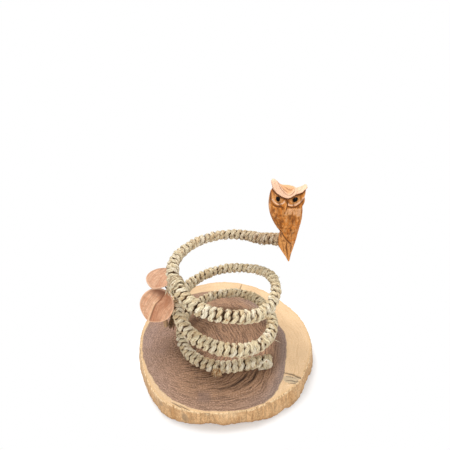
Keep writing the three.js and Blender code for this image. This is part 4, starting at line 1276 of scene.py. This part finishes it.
def carve_face(face, x, z):
    """Brows, eye sockets, lids and beak, from eased steps and humps of the distance from their
    lines and middles. Gives how far a point is in the cap over the brows."""
    above = (z - line_at(x, BROW_LOW)) * 0.8
    over_high = (z - line_at(x, BROW_HIGH)) * 0.8
    cap = ease(-0.35, 0.55, above)
    crown = ease(-0.3, 2.6, over_high)
    face.relief += cap * (1.5 + 0.9 * bump(above, 1.6, 1.8))
    face.relief -= 0.6 * bump(over_high, 0.3, 0.5) * cap + 0.6 * crown
    face.relief -= 1.3 * bump(above, -0.9, 1.5) * (1 - cap)
    face.darken(0.6 * bump(over_high, 0.3, 0.55) * ease(20, 23, z))
    # Painted shadow under the brow's lower edge.
    face.darken(0.95 * bump(above, -0.8, 0.9))
    # Painted shadow at the beak's root, under the brow.
    root = np.hypot((x + 4.4) / 1.6, z - 17.2)
    face.darken(0.7 * bump(root, 0, 1.6) * (1 - cap))
    face.lighten(cap * (1 - 0.36 * crown))
    for _, _, (ex, ez), *_ in EYES:
        far = np.hypot((x - ex) / 1.1, z - ez)
        face.relief += (0.4 * bump(far, 3.4, 0.6) - 1.2 * np.exp(-((far / 4.0) ** 2))) * (1 - cap)
        face.darken(0.3 * bump(far, 4.6, 0.6) * (1 - cap))
        face.lighten(0.3 * ease(5.4, 4.2, far) * (1 - cap))
        face.lighten(0.5 * bump(far, 3.2, 0.7) * (1 - cap))
    for lid, under in zip(LIDS, UNDER_LIDS):
        near, _ = near_line(x, z, lid)
        below, _ = near_line(x, z, under)
        face.relief += 1.1 * bump(near, 0, 1.2) - 0.9 * bump(below, 0, 0.8)
        face.lighten(0.9 * bump(near, 0, 0.95))
        face.dark *= 1 - 0.8 * bump(near, 0, 0.8)
        # Painted shadow under each lower lid.
        face.darken(bump(below, 0, 0.8) * (0.45 + 0.5 * ease(-16.5, -13.5, x)))
    share = np.clip((BEAK_TOP[1] - z) / (BEAK_TOP[1] - BEAK_TIP[1]), 0, 1)
    centre = BEAK_TOP[0] + (BEAK_TIP[0] - BEAK_TOP[0]) * share
    half = 0.7 + 1.2 * np.sin(math.pi * np.clip(share * 0.95 + 0.1, 0, 1)) ** 0.8
    inside = ease(BEAK_TOP[1] + 0.6, BEAK_TOP[1] - 1.2, z)
    inside = inside * ease(BEAK_TIP[1] - 0.4, BEAK_TIP[1] + 1.6, z)
    ridge = np.clip(1 - np.abs(x - centre) / half, 0, 1)
    face.relief += inside * ridge ** 0.8 * (1.1 + 1.7 * share)
    face.lighten(0.35 * inside * ridge)
    far, _ = face.cut(BEAK_SIDE, 0.45, 1.0)
    face.darken(0.95 * bump(far, 0, 0.6))
    return cap


def owl_front(x, z):
    """Carving of the owl's front: millimetres forward of the plain body, and masks of the pale
    wood with painted highlights, the oil-dark cuts with painted shadows under the brow and lids and
    painted shade in the hollows, and the darker wing."""
    face = Carving(x, z)
    cap = carve_face(face, x, z)
    for fx, fz, wide, tall, level in OWL_FACETS:
        facet = np.exp(-(((x - fx) / wide) ** 2) - ((z - fz) / tall) ** 2)
        face.relief += 0.35 * facet
        face.lighten(level * facet)
    for line, width, depth, shade in OWL_CUTS:
        far, run = face.cut(line, width, depth)
        face.darken(shade * bump(far, 0, width * 1.1) * (0.5 + 0.5 * np.sin(math.pi * run)))
    over = z - line_at(x, WING_CROSSING)
    body = ease(-0.5, 0.5, over * 0.75)
    face.relief += (body - 1) * 1.9 * ease(-9.5, -7.7, x)
    seam = bump(over, -1.1, 1.0 + 0.7 * bump(x, 1.5, 3.0)) * ease(-9.2, -6.7, x)
    face.darken(seam * ease(6.5, 3.5, x))
    below = ease(10.5, 6.5, z) * body
    marks = scoops(x, z, 2.2, 3.6, 71)
    face.relief += 0.45 * marks * below
    face.relief += 0.22 * scoops(x * 0.8 + z * 0.5, z * 0.7 - x * 0.4, 1.9, 4.6, 79) * cap
    lumps = grain2(x / 1.5 + 40, z / 2.6 + 60, 83)
    face.relief += 0.3 * lumps * (1 - 0.6 * cap)
    # Darker in the gouges' hollows and on the low parts of the lumps, paler on the raised lumps: partly
    # oil-dark and pale wood, partly painted shade and painted highlight.
    face.darken(0.35 * np.clip(1.0 + marks * 1.25, 0, 1) * below)
    face.darken(0.6 * ease(-0.15, -0.7, lumps) * (1 - 0.7 * cap))
    face.lighten(0.35 * ease(0.2, 0.7, lumps))
    patch = ease(0.6, 4.6, z + 0.1 * x + 1.6 * lumps) * ease(-5.4, -3.2, x + 0.35 * (9 - z))
    patch = patch * ease(10.6, 9.0, z) * ease(10.8, 8.6, x)
    face.lighten(0.7 * patch * (0.8 + 0.2 * lumps))
    wing = ease(-6.2, -10.2, x + 0.32 * (z + 2.4)) * ease(11.6, 7.6, z) * ease(-18.4, -12.4, z)
    strip = ease(-16.8, -17.8, x) * ease(-1, 5, z) * ease(28, 25, z)
    face.lighten(0.55 * strip)
    face.lighten(0.36 * (1 - body) * ease(-9.2, -6.7, x))
    return face.relief, face.pale, np.clip(face.dark, 0, 1), wing


def owl_back(x, z):
    """Carving of the owl's back: two folded wings that meet over the tail, in rows of feathers."""
    face = Carving(x, z)
    for line, width, depth in OWL_BACK_CUTS:
        far, _ = face.cut(line, width, depth)
        face.darken(0.7 * np.exp(-((far / width) ** 2)))
    marks = scoops(x, z, 3.0, 4.2, 91)
    face.relief += 0.3 * marks * ease(14, 11, z) * ease(-26, -20, z)
    face.relief += 0.12 * scoops(x, z, 2.2, 3.0, 95) * ease(14, 16, z)
    # Darker in the gouges' hollows: partly oil-dark wood, partly painted shade.
    face.darken(0.25 * np.clip(1 + marks * 1.2, 0, 1) * ease(14, 11, z))
    return face.relief, ease(20, 27, z) * 0.8, face.dark, np.full_like(x, 0.25)


class HOLDER_OT_owl(HolderOperator):
    """Carved owl on the coil's end, with its two bead eyes"""

    bl_idname = "holder.owl"
    bl_label = "Carved Owl"

    def execute(self, context):
        settings = context.scene.holder_owl
        middle = rope_at(ROPE_LENGTH)[0] + OWL_FROM_ARM
        outline = smooth_loop(OWL_OUTLINE, OWL_SECTORS)
        shares = np.sin(np.linspace(0.01, 1, OWL_RINGS) * math.pi / 2)

        def face(column, sign, carve):
            """Front or back: rings of the outline drawn in, at depth * (1 - share^3.4)^(1/2)."""
            flat = outline[None] * shares[:, None, None]
            x, z = flat[..., 0], flat[..., 1]
            rounding = np.sqrt(1 - np.minimum(shares, 1) ** OWL_ROUNDNESS)[:, None]
            relief, pale, dark, wing = carve(x, z)
            hold = ease(0, 0.3, rounding)
            out = owl_depth(z, column) * rounding + relief * hold * settings.relief
            y = sign * np.maximum(out, 0.02 * rounding)
            return np.stack([x, y, z], -1), np.stack([pale, dark, wing], -1)

        front, front_tone = face(1, -1, owl_front)
        back, back_tone = face(2, 1, owl_back)
        shape = Shape()
        shape.add(
            np.concatenate([front, back[-2::-1]]) + middle,
            tone=np.concatenate([front_tone, back_tone[-2::-1]]),
        )
        shape.build("carved_owl", "owl_body", "carved_wood", owl_finish(settings))
        bead = bead_finish()
        # Each bead: depth times cos a, with length times sin a sin b and width times sin a cos b in
        # the plane of the face, turned by the tilt
        for name, node, (x, z), tilt, long, wide in EYES:
            place = middle + np.array([x, 0.1 - owl_depth(z, 1), z])
            a = np.linspace(0.12, math.pi - 0.12, 15)[:, None]
            b = round_angles(24)
            turned = math.radians(tilt)
            far, over = long * np.sin(a) * np.sin(b), wide * np.sin(a) * np.cos(b)
            ball = np.stack([
                far * math.cos(turned) - over * math.sin(turned), EYE_DEPTH * np.cos(a) + 0 * b,
                far * math.sin(turned) + over * math.cos(turned),
            ], -1)
            shape = Shape()
            shape.add(ball + place, place + np.array([[0, EYE_DEPTH, 0], [0, -EYE_DEPTH, 0]]))
            shape.build(name, node, "eye_bead", bead)
        return {"FINISHED"}


def owl_finish(settings):
    """Oiled carved wood: grain along the body, pale crown and painted highlights, dark cuts with painted
    shade and shadows, and a darker wing.
    """
    f = Finish("carved_wood", Specular_IOR_Level=0.22)
    pale, dark, wing = f.split("tone")
    streak = f.noise(f.place(0.18), 0.45, 4.0, 0.6, 0.6)
    fine = f.noise(f.place(0.18), 1.7, 2.0, 0.6)
    cloud = f.noise(f.place(), 0.09, 3.0)
    pores = f.noise(f.place(0.1), 4.0, 1.0, 0.5)
    colour = f.coats(
        tint(settings.wood, 1.2),
        (streak.step(0.35, 0.68), settings.wood, 0.72),
        (cloud.step(0.5, 0.75) * 0.5, "d99b52"),
        (wing * 0.3, "a9602a"),
        (pale.step(0.0, 0.5) * 0.7, "dfa262"),
        (pale.step(0.35, 1.0) * 0.95, settings.pale),
        (fine.step(0.52, 0.7) * (0.5 - pale * 0.25), "a0602c"),
        (dark.step(0.0, 0.9) * 0.92, settings.groove),
    )
    return f.finish(colour, 0.62 - pale * 0.1, streak * 0.4 + pores * 0.25, depth=0.0002)


def bead_finish():
    """Black glass with faint smears."""
    f = Finish("eye_bead", Specular_IOR_Level=0.06)
    cloud = f.noise(f.place(), 0.9, 2.0)
    return f.finish(f.coats(tint("030304"), (cloud, "0c0c0e")), cloud * 0.12 + 0.16)


# Leaves, twig and bands

LEAF_THICKNESS = 1.8
# How far a leaf's two sides come up from its midrib
LEAF_FOLD = 2.2
# The midrib's way from stalk to tip: share of half the length, and how far to the side it lies
RIB_BENDS = ((-1, -1.8), (-0.4, -0.3), (-0.08, 1.6), (0.1, 1.5), (0.45, 0.6), (0.86, -0.8), (1, -1.1))
# Name, CAD node, middle, way to the tip, way out of the face, length, width, seed, level of the
# colours (lower on the upper leaf, which is painted shade on its lit top face), how dark the painted
# shadow at the stalk end and the painted shade on one half are, and how strong the midrib is
LEAVES = (
    ("carved_leaf_lower", "leaf_lower", (-71.55, -10.37, 76.26), (-22, -10, -36), (-0.1, -0.95, 0.3),
     40.5, 36.6, 3, 1.05, 0.8, 0.6, 1.0),
    ("carved_leaf_upper", "leaf_upper", (-65.86, 6.83, 99.26), (-7.5, -21, 0), (-0.05, -0.1, 1),
     38.5, 35, 9, 0.78, 0.2, 0.15, 0.12),
)
LEAF_SECTORS = 220
LEAF_RINGS = 46


def leaf_axes(tipward, facing):
    """Direction to the tip, direction across, and direction out of the face."""
    along = unit(np.array(tipward, float))
    side = unit(np.cross(along, np.array(facing, float)))
    return along, side, np.cross(side, along)


def leaf_shape(middle, axes, length, width, seed, ridge):
    """A leaf: half the length times cos and half the width times sin of an angle, with a slight
    point, folded up by the 1.3 power of the share across, with a cut along the rib, faint side
    ribs, a worn rim and the same outline on its back. Ridge is how strong the rib is."""
    turn = round_angles(LEAF_SECTORS)
    share = np.sin(np.linspace(0.02, 1, LEAF_RINGS) * math.pi / 2)[:, None]
    point = 2.2 * (np.maximum(0, np.cos(turn)) ** 12 - 0.5)
    wobble = 1 + 0.012 * wander(turn * 3.5 / math.pi, seed) * np.sin(turn / 2)
    lengthwise = share * ((length / 2 - 1.1) * np.cos(turn) + point) * wobble
    across = share * (width / 2) * np.sin(turn) * wobble
    fold = LEAF_FOLD * (np.abs(across) / (width / 2)) ** 1.3
    thick = LEAF_THICKNESS / 2 * (0.25 + 0.75 * np.sqrt(np.clip(1 - share ** 14, 0, 1)))
    along_share = lengthwise / (length / 2)
    off_rib = across - line_at(along_share, RIB_BENDS)
    rib = bump(off_rib, 0, 0.6) * ease(1.02, 0.8, along_share) * ease(-1.0, -0.8, along_share)
    slant = lengthwise + np.abs(across) * 0.9
    veins = np.exp(-((((slant / 5.2) % 1) - 0.5) / 0.12) ** 2) * ease(0.6, 3, np.abs(across))
    chatter = 0.05 * grain2(across / 2.2, lengthwise / 5, seed + 3)
    crest = 0.45 * bump(off_rib, 1.5, 1.2) - 0.35 * bump(off_rib, -2.2, 1.8)
    crest = crest * ease(1.0, 0.8, share) * ridge
    face = thick - 0.55 * rib * ridge - 0.07 * veins + chatter + crest

    def level(height):
        """The leaf's outline and its smaller copies, folded, at a height."""
        parts = zip((lengthwise, across, fold + height), axes)
        return middle + sum(amount[..., None] * way for amount, way in parts)

    rib_highlight = bump(off_rib, 1.5, 1.1) * ease(-0.45, -0.1, along_share)
    tone = np.stack([rib, along_share, np.broadcast_to(share, rib.shape)], -1)
    half = np.stack([ease(0.8, -0.8, off_rib), rib_highlight, off_rib / 20], -1)
    shape = Shape()
    shape.add(
        np.concatenate([level(face), level(0.25 * rib - thick + chatter)[::-1]]),
        tone=np.concatenate([tone, (tone * [0.4, 1, 1])[::-1]]),
        half=np.concatenate([half, half[::-1]]),
    )
    return shape


def leaf_finish(settings, name, level, shade, darker, ridge):
    """Thin carved wood: grain along the leaf, with painted shade along the rib and on one half, a
    painted shadow at the stalk end, a painted highlight beside the rib, and a pale rim that is a
    painted highlight."""
    f = Finish(name, Roughness=0.6, Specular_IOR_Level=0.3)
    rib, along, share = f.split("tone")
    half, crest, across = f.split("half")
    place = f.place()
    streak = f.noise(f.join(along * 1.2, across * 14.0, share * 0.4), 1.0, 3.0, 0.6)
    fine = f.noise(place, 1.6, 2.0)
    blotch = f.noise(place, 0.11, 3.0, 0.5, 0.8)
    mottle = f.noise(place, 0.45, 2.0, 0.6)
    shaded = half * (1 - (0.0 - across).step(0.3, 0.75) * 0.85)
    colour = f.coats(
        tint(settings.wood, level * 1.06),
        (streak.step(0.38, 0.62), settings.wood, level * 0.74),
        (fine.step(0.5, 0.7) * 0.4, "bd8261", level),
        (blotch.step(0.48, 0.62) * 0.5, "bd7f5a", level),
        (mottle.step(0.56, 0.7) * 0.5, "ba7751", level),
        (mottle.step(0.42, 0.3) * 0.5, "f6d0ae", level),
        # Painted shade on the half of the leaf that is folded away from the light.
        (shaded * (streak.step(0.3, 0.6) * 0.4 + 0.6) * darker, "a8653f"),
        # Painted shadow at the stalk end, where the upper leaf and the rope shade it.
        ((0.0 - along).step(0.15, 1.0) * shade, settings.rib),
        ((0.0 - along).step(0.4, 0.85) * (1 - half) * shade, "6b4129"),
        # Painted highlight along the crest beside the midrib.
        (crest * ridge * 0.6, "f6cfa6"),
        # Painted highlight along the leaf's rim.
        (share.step(0.9, 0.98) * 0.5, "efc6a4", level),
        # Painted shadow line along the midrib.
        (rib * 0.85 * ridge, settings.rib, 0.6),
    )
    return f.finish(colour, fine * 0.2 + 0.45, streak * 0.5 + fine * 0.3, depth=0.0003)


class HOLDER_OT_leaves(HolderOperator):
    """Two carved leaves beside the coil"""

    bl_idname = "holder.leaves"
    bl_label = "Carved Leaves"

    def execute(self, context):
        settings = context.scene.holder_leaf
        for name, node, middle, tipward, facing, *shape_values, level, shade, darker, ridge in LEAVES:
            shape = leaf_shape(middle, leaf_axes(tipward, facing), *shape_values, ridge)
            finish = leaf_finish(settings, name + "_wood", level, shade, darker, ridge)
            shape.build(name, node, "leaf_wood", finish)
        return {"FINISHED"}


# Where the loose ends of the ties leave the rope and where they hang to; their dark tangle also stands in
# for the shade between the twig and the rope
TIE_FROM = (-56.0, -12.5, 63.0)
TIE_TO = (-58.0, -16.5, 51.0)
# Where the strands between the band and the lower leaf's stalk end begin and how they run
STRANDS_FROM = (-57.0, -9.0, 99.5)
STRANDS_TO = (-58.8, -9.5, 89.0)
LASHING_LENGTH = length_at(530)
BAND_LENGTH = length_at(874)
TWIG_WAY = unit(np.array([-8.0, 15.0, 47.0]))
# The twig's ends, measured along it from where the lashing grips it
TWIG_FOOT = -11.5
TWIG_HEAD = 36.5


class HOLDER_OT_twig(HolderOperator):
    """Peeled twig behind the lower leaf, and the dark fibre that ties it to the coil"""

    bl_idname = "holder.twig"
    bl_label = "Twig and Lashing"

    def execute(self, context):
        rope_middle = rope_at(LASHING_LENGTH)[0]
        out = unit(unit(rope_middle * [1, 1, 0]) - np.array([0, 0, 0.38]))
        grip = rope_middle + out * 16.2
        self.add_twig(context.scene.holder_leaf, grip)
        self.add_lashing(grip, rope_middle)
        return {"FINISHED"}

    def add_twig(self, settings, grip):
        """The twig: a tube along a slightly bent line, a taper with faint ribs, a knot and worn ends."""
        run = np.linspace(TWIG_FOOT, TWIG_HEAD, 60)
        bend = 0.35 * wander(run / 14, 101)
        across = unit(np.cross(TWIG_WAY, [0, 1, 0]))
        path = grip + run[:, None] * TWIG_WAY + bend[:, None] * across
        radius = line_at(run, ((TWIG_FOOT, 2.8), (-4, 2.4), (TWIG_HEAD, 1.8)))
        radius = radius * (1 + 0.05 * wander(run / 4, 102)) * (1 + 0.22 * bump(run, 8, 1.6))
        worn = np.minimum(1, 0.8 + 0.2 * np.minimum(run - TWIG_FOOT, TWIG_HEAD - run) / 0.8)
        swell = strand_swell(len(path), 20, 5, 0.02, 0.01)
        shape = Shape()
        shape.add_tube(path, across, radius * worn, 20, swell, tone=run[:, None, None])
        shape.build("peeled_twig", "twig", "twig_wood", twig_finish(settings))

    def add_lashing(self, grip, rope_middle):
        """Strands round the twig, strands from the rope to the twig, and ends that hang loose."""
        shape = Shape()
        side = unit(np.cross(TWIG_WAY, grip - rope_middle))
        out = unit(np.cross(side, TWIG_WAY))
        for k in range(4):
            a = np.linspace(0, TURN * 2.2, 120)
            lift = (k - 1.5) * 1.25 + 0.5 * np.sin(a * 0.9 + k) + 0.3 * wander(a + 5 * k, 111)
            reach = 3.0 + 0.35 * wander(a * 1.3 + 9 * k, 112)
            path = grip + lift[:, None] * TWIG_WAY + reach[:, None] * round_about(a, out, side)
            shape.add_tube(path, TWIG_WAY, 0.62 + 0.1 * wander(a, 113 + k), 8)
        for k in range(5):
            t = np.linspace(0, 1, 40)
            swing = k - 2.0
            a = TURN * (t * 0.5 + 0.25) * (1 if k % 2 else -1)
            middle, along, sideways, above = rope_at(LASHING_LENGTH + swing * 0.9 + 0 * t)
            round_rope = middle + 8.3 * round_about(a, above, sideways)
            to_twig = grip + swing * 0.8 * TWIG_WAY
            pull = ease(0.62, 1.0, t)[:, None]
            shape.add_tube(round_rope * (1 - pull) + to_twig * pull, along, 0.6, 8)
        # Loose dark ends: partly real ties, partly a dark stand-in for the shade between twig and rope.
        rng = np.random.default_rng(115)
        for _ in range(18):
            end = TIE_TO + rng.uniform(-1, 1, 3) * (2.6, 1.6, 3.4)
            start = TIE_FROM + rng.uniform(-1, 1, 3) * (2.0, 0.8, 2.0)
            halfway = (start + end) / 2 + rng.uniform(-1, 1, 3) * (1.6, 1.2, 1.6)
            girth = rng.uniform(0.35, 0.75) * np.linspace(1, 0.6, 24)
            shape.add_tube(curve_through([start, halfway, end], 24), (0.3, 0.9, 0.1), girth, 6)
        shape.build("twig_ties", "twig_lashing", "dark_thread", tie_finish())


def twig_finish(settings):
    """Peeled stick: long streaks and small dark scars, with a pale cut end."""
    f = Finish("twig_wood", Roughness=0.75, Specular_IOR_Level=0.3)
    run, _, _ = f.split("tone")
    streak = f.noise(f.place(0.15), 0.9, 3.0, 0.6)
    scar = f.noise(f.place(), 0.5, 2.0)
    colour = f.coats(
        tint(settings.twig, 1.2),
        (streak.step(0.35, 0.7), settings.twig, 0.6),
        (scar.step(0.6, 0.72) * 0.5, "6e5236"),
        (run.step(-11.3, -11.6) * 0.8, "e2cda6"),
    )
    return f.finish(colour, None, streak, depth=0.0004)


def tie_finish():
    """Rough dark binding fibre, which in the loose ends also stands in for the shade between twig and
    rope.
    """
    f = Finish("tie_fibre", Roughness=0.9, Specular_IOR_Level=0.2)
    cloud = f.noise(f.place(), 0.8, 3.0, 0.6)
    fine = f.noise(f.place(), 3.0, 2.0)
    colour = f.coats(
        tint("3b2818"), (cloud.step(0.35, 0.68), "7d6040"), (fine.step(0.5, 0.7) * 0.6, "23170e"),
    )
    return f.finish(colour, None, fine, depth=0.0004)


class HOLDER_OT_band(HolderOperator):
    """Wrap of fibre on the top turn above the leaves"""

    bl_idname = "holder.band"
    bl_label = "Leaf Band"

    def execute(self, context):
        # Each ply goes a little over once round the rope, tilted along it by a sine
        shape = Shape()
        for k in range(4):
            a = np.linspace(0, TURN * 1.05, 110) + 0.6 * k
            tilt = 2.4 * np.sin(a + 0.9) + (k - 1) * 2.2 + 0.25 * wander(a * 1.2 + 4 * k, 121)
            middle, _, side, above, radius = binding_at(BAND_LENGTH + tilt)
            reach = radius + 0.7 + 0.25 * wander(a * 1.4 + 3 * k, 122)
            out = round_about(a, side, above)
            girth = 1.1 + 0.08 * wander(a, 123)
            path = middle + reach[:, None] * out
            add_ply(shape, path, out, girth, a * 8, 4 + k, middle, radius + 1.2, wear=0.25 * k)
        rng = np.random.default_rng(125)
        for _ in range(9):
            root = STRANDS_FROM + rng.uniform(-1, 1, 3) * (1.4, 1.0, 0.5)
            way = unit(np.array(STRANDS_TO) - STRANDS_FROM + rng.uniform(-1, 1, 3) * (2.4, 1, 1))
            sag = rng.uniform(-1, 1, 3) * 1.2
            add_hair(shape, root, way, sag, rng.uniform(8, 12), rng.uniform(0.5, 0.85), wear=0.9)
        finish = straw_finish(context.scene.holder_rope)
        shape.build("fibre_band", "leaf_band", "straw_rope", finish)
        return {"FINISHED"}


class HOLDER_OT_metal(HolderOperator):
    """Drawn steel for the core wire, the staples and the leaf's stalk"""

    bl_idname = "holder.metal"
    bl_label = "Wire and Staples"

    def execute(self, context):
        f = Finish("drawn_steel", Metallic=1.0)
        streak = f.noise(f.place(), 0.8, 3.0)
        colour = f.coats(tint("4d453c"), (streak, "6e655a"))
        steel = f.finish(colour, streak * 0.3 + 0.4, streak, depth=0.00005)
        for node in ("core_wire", "staple_1", "staple_2", "leaf_stalk"):
            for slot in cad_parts[node].material_slots:
                slot.material = steel
        return {"FINISHED"}


# Stage

FLOOR_HALF = 40.0
FLOOR_SIDES = 64
WHITE = (1.0, 1.0, 1.0, 1.0)
SKY_LIGHT = 0.42
# Name, place, the point it faces, size and power of each light, in metres and watts
LIGHTS = (
    ("key_light", (-0.25, 0.3, 1.15), (0, 0, 0.06), 0.55, 12.0),
    ("fill_light", (-0.1, -1.1, 0.65), (0, 0, 0.08), 1.0, 7.6),
    ("side_light", (0.9, 0.2, 0.7), (0, 0, 0.08), 0.8, 2.5),
)


def set_up(data, place, right, up, back):
    """Puts a camera or light at a place, turned to three axes, and gives its object."""
    thing = bpy.data.objects.new(data.name, data)
    thing.rotation_euler = Matrix(np.stack([right, up, back], 1).tolist()).to_euler()
    thing.location = place
    bpy.context.scene.collection.objects.link(thing)
    return thing


class HOLDER_OT_stage(HolderOperator):
    """Camera at the photograph's angle, soft lights and a pale floor"""

    bl_idname = "holder.stage"
    bl_label = "Stage"

    def execute(self, context):
        settings = context.scene.holder_stage
        self.make_camera(context.scene, settings)
        self.make_lights(context.scene)
        self.make_floor(context.scene, settings)
        context.scene.view_settings.view_transform = "Standard"
        return {"FINISHED"}

    def make_camera(self, scene, settings):
        """The photograph's camera, tilted down and rolled about its line of sight."""
        data = bpy.data.cameras.new("camera")
        data.lens = settings.lens
        data.sensor_width = 36.0
        data.shift_x = 0.00545
        data.shift_y = 0.0324
        data.clip_start = 0.01
        tilt, roll = settings.camera_tilt, settings.camera_roll
        forward = np.array([0, math.cos(tilt), -math.sin(tilt)])
        right = np.array([1.0, 0, 0])
        up = np.cross(right, forward)
        turned_right = math.cos(roll) * right + math.sin(roll) * up
        turned_up = -math.sin(roll) * right + math.cos(roll) * up
        place = (0, -settings.camera_back, settings.camera_height)
        scene.camera = set_up(data, place, turned_right, turned_up, -forward)

    def make_lights(self, scene):
        """Area lights, and an even sky that the camera sees as white."""
        for name, place, aim, size, power in LIGHTS:
            data = bpy.data.lights.new(name, "AREA")
            data.shape = "DISK"
            data.size = size
            data.energy = power
            way = unit(np.array(place) - aim)
            side = unit(np.cross([0, 0, 1], way))
            set_up(data, place, side, np.cross(way, side), way)
        scene.world = bpy.data.worlds.new("soft_sky")
        scene.world.use_nodes = True
        w = Nodes(scene.world.node_tree)
        sky = w.node("Background", None, {"Color": WHITE, "Strength": SKY_LIGHT})
        white = w.node("Background", None, {"Color": WHITE, "Strength": 1.0})
        both = w.node("MixShader", None, {0: w.seen(), 1: sky, 2: white})
        w.feed(w.tree.nodes["World Output"].inputs["Surface"], both)

    def make_floor(self, scene, settings):
        """A pale floor that takes shadows near the slice and glows white further out."""
        ring = round_angles(FLOOR_SIDES)
        mesh = bpy.data.meshes.new("floor")
        points = np.stack([np.cos(ring), np.sin(ring), 0 * ring], -1) * FLOOR_HALF
        mesh.from_pydata(points.tolist(), [], [list(range(FLOOR_SIDES))])
        floor = bpy.data.objects.new("floor", mesh)
        scene.collection.objects.link(floor)
        f = Finish("floor", Roughness=0.9, Specular_IOR_Level=0.1)
        dust = f.noise(f.place(), 0.01, 2.0)
        f.finish(f.coats(tint(settings.floor), (dust, settings.floor, 0.985)))
        glow = f.node("Emission", None, {"Color": WHITE, "Strength": 1.0})
        x, y, _ = f.split(f.place())
        far = ((x - SLAB_MIDDLE[0]) ** 2 + (y - SLAB_MIDDLE[1]) ** 2) ** 0.5
        share = f.seen() * (0.1 + 0.9 * far.step(98.0, 132.0))
        both = f.node("MixShader", None, {0: share, 2: glow})
        f.tree.links.new(f.shader.outputs[0], both.socket.node.inputs[1])
        f.feed(f.tree.nodes["Material Output"].inputs["Surface"], both)
        mesh.materials.append(f.material)


class HOLDER_PT_panel(Panel):
    """Lists the holder's steps in the order in which they are run"""

    bl_idname = "HOLDER_PT_panel"
    bl_label = "Wine Bottle Holder"
    bl_space_type = "VIEW_3D"
    bl_region_type = "UI"
    bl_category = "Holder"

    def draw(self, context):
        for operator in STEPS:
            self.layout.operator(operator.bl_idname)


STEPS = (
    HOLDER_OT_stage, HOLDER_OT_slab, HOLDER_OT_rope, HOLDER_OT_owl, HOLDER_OT_leaves,
    HOLDER_OT_twig, HOLDER_OT_band, HOLDER_OT_metal,
)
SETTINGS = {
    "holder_slab": HolderSlabSettings,
    "holder_rope": HolderRopeSettings,
    "holder_owl": HolderOwlSettings,
    "holder_leaf": HolderLeafSettings,
    "holder_stage": HolderStageSettings,
}


def register():
    for group in SETTINGS.values():
        bpy.utils.register_class(group)
    for name, group in SETTINGS.items():
        setattr(bpy.types.Scene, name, PointerProperty(type=group))
    for operator in STEPS:
        bpy.utils.register_class(operator)
    bpy.utils.register_class(HOLDER_PT_panel)


def unregister():
    bpy.utils.unregister_class(HOLDER_PT_panel)
    for operator in reversed(STEPS):
        bpy.utils.unregister_class(operator)
    for name, group in SETTINGS.items():
        delattr(bpy.types.Scene, name)
        bpy.utils.unregister_class(group)


def main():
    register()
    for operator in STEPS:
        group, name = operator.bl_idname.split(".")
        getattr(getattr(bpy.ops, group), name)()


if __name__ == "__main__":
    main()
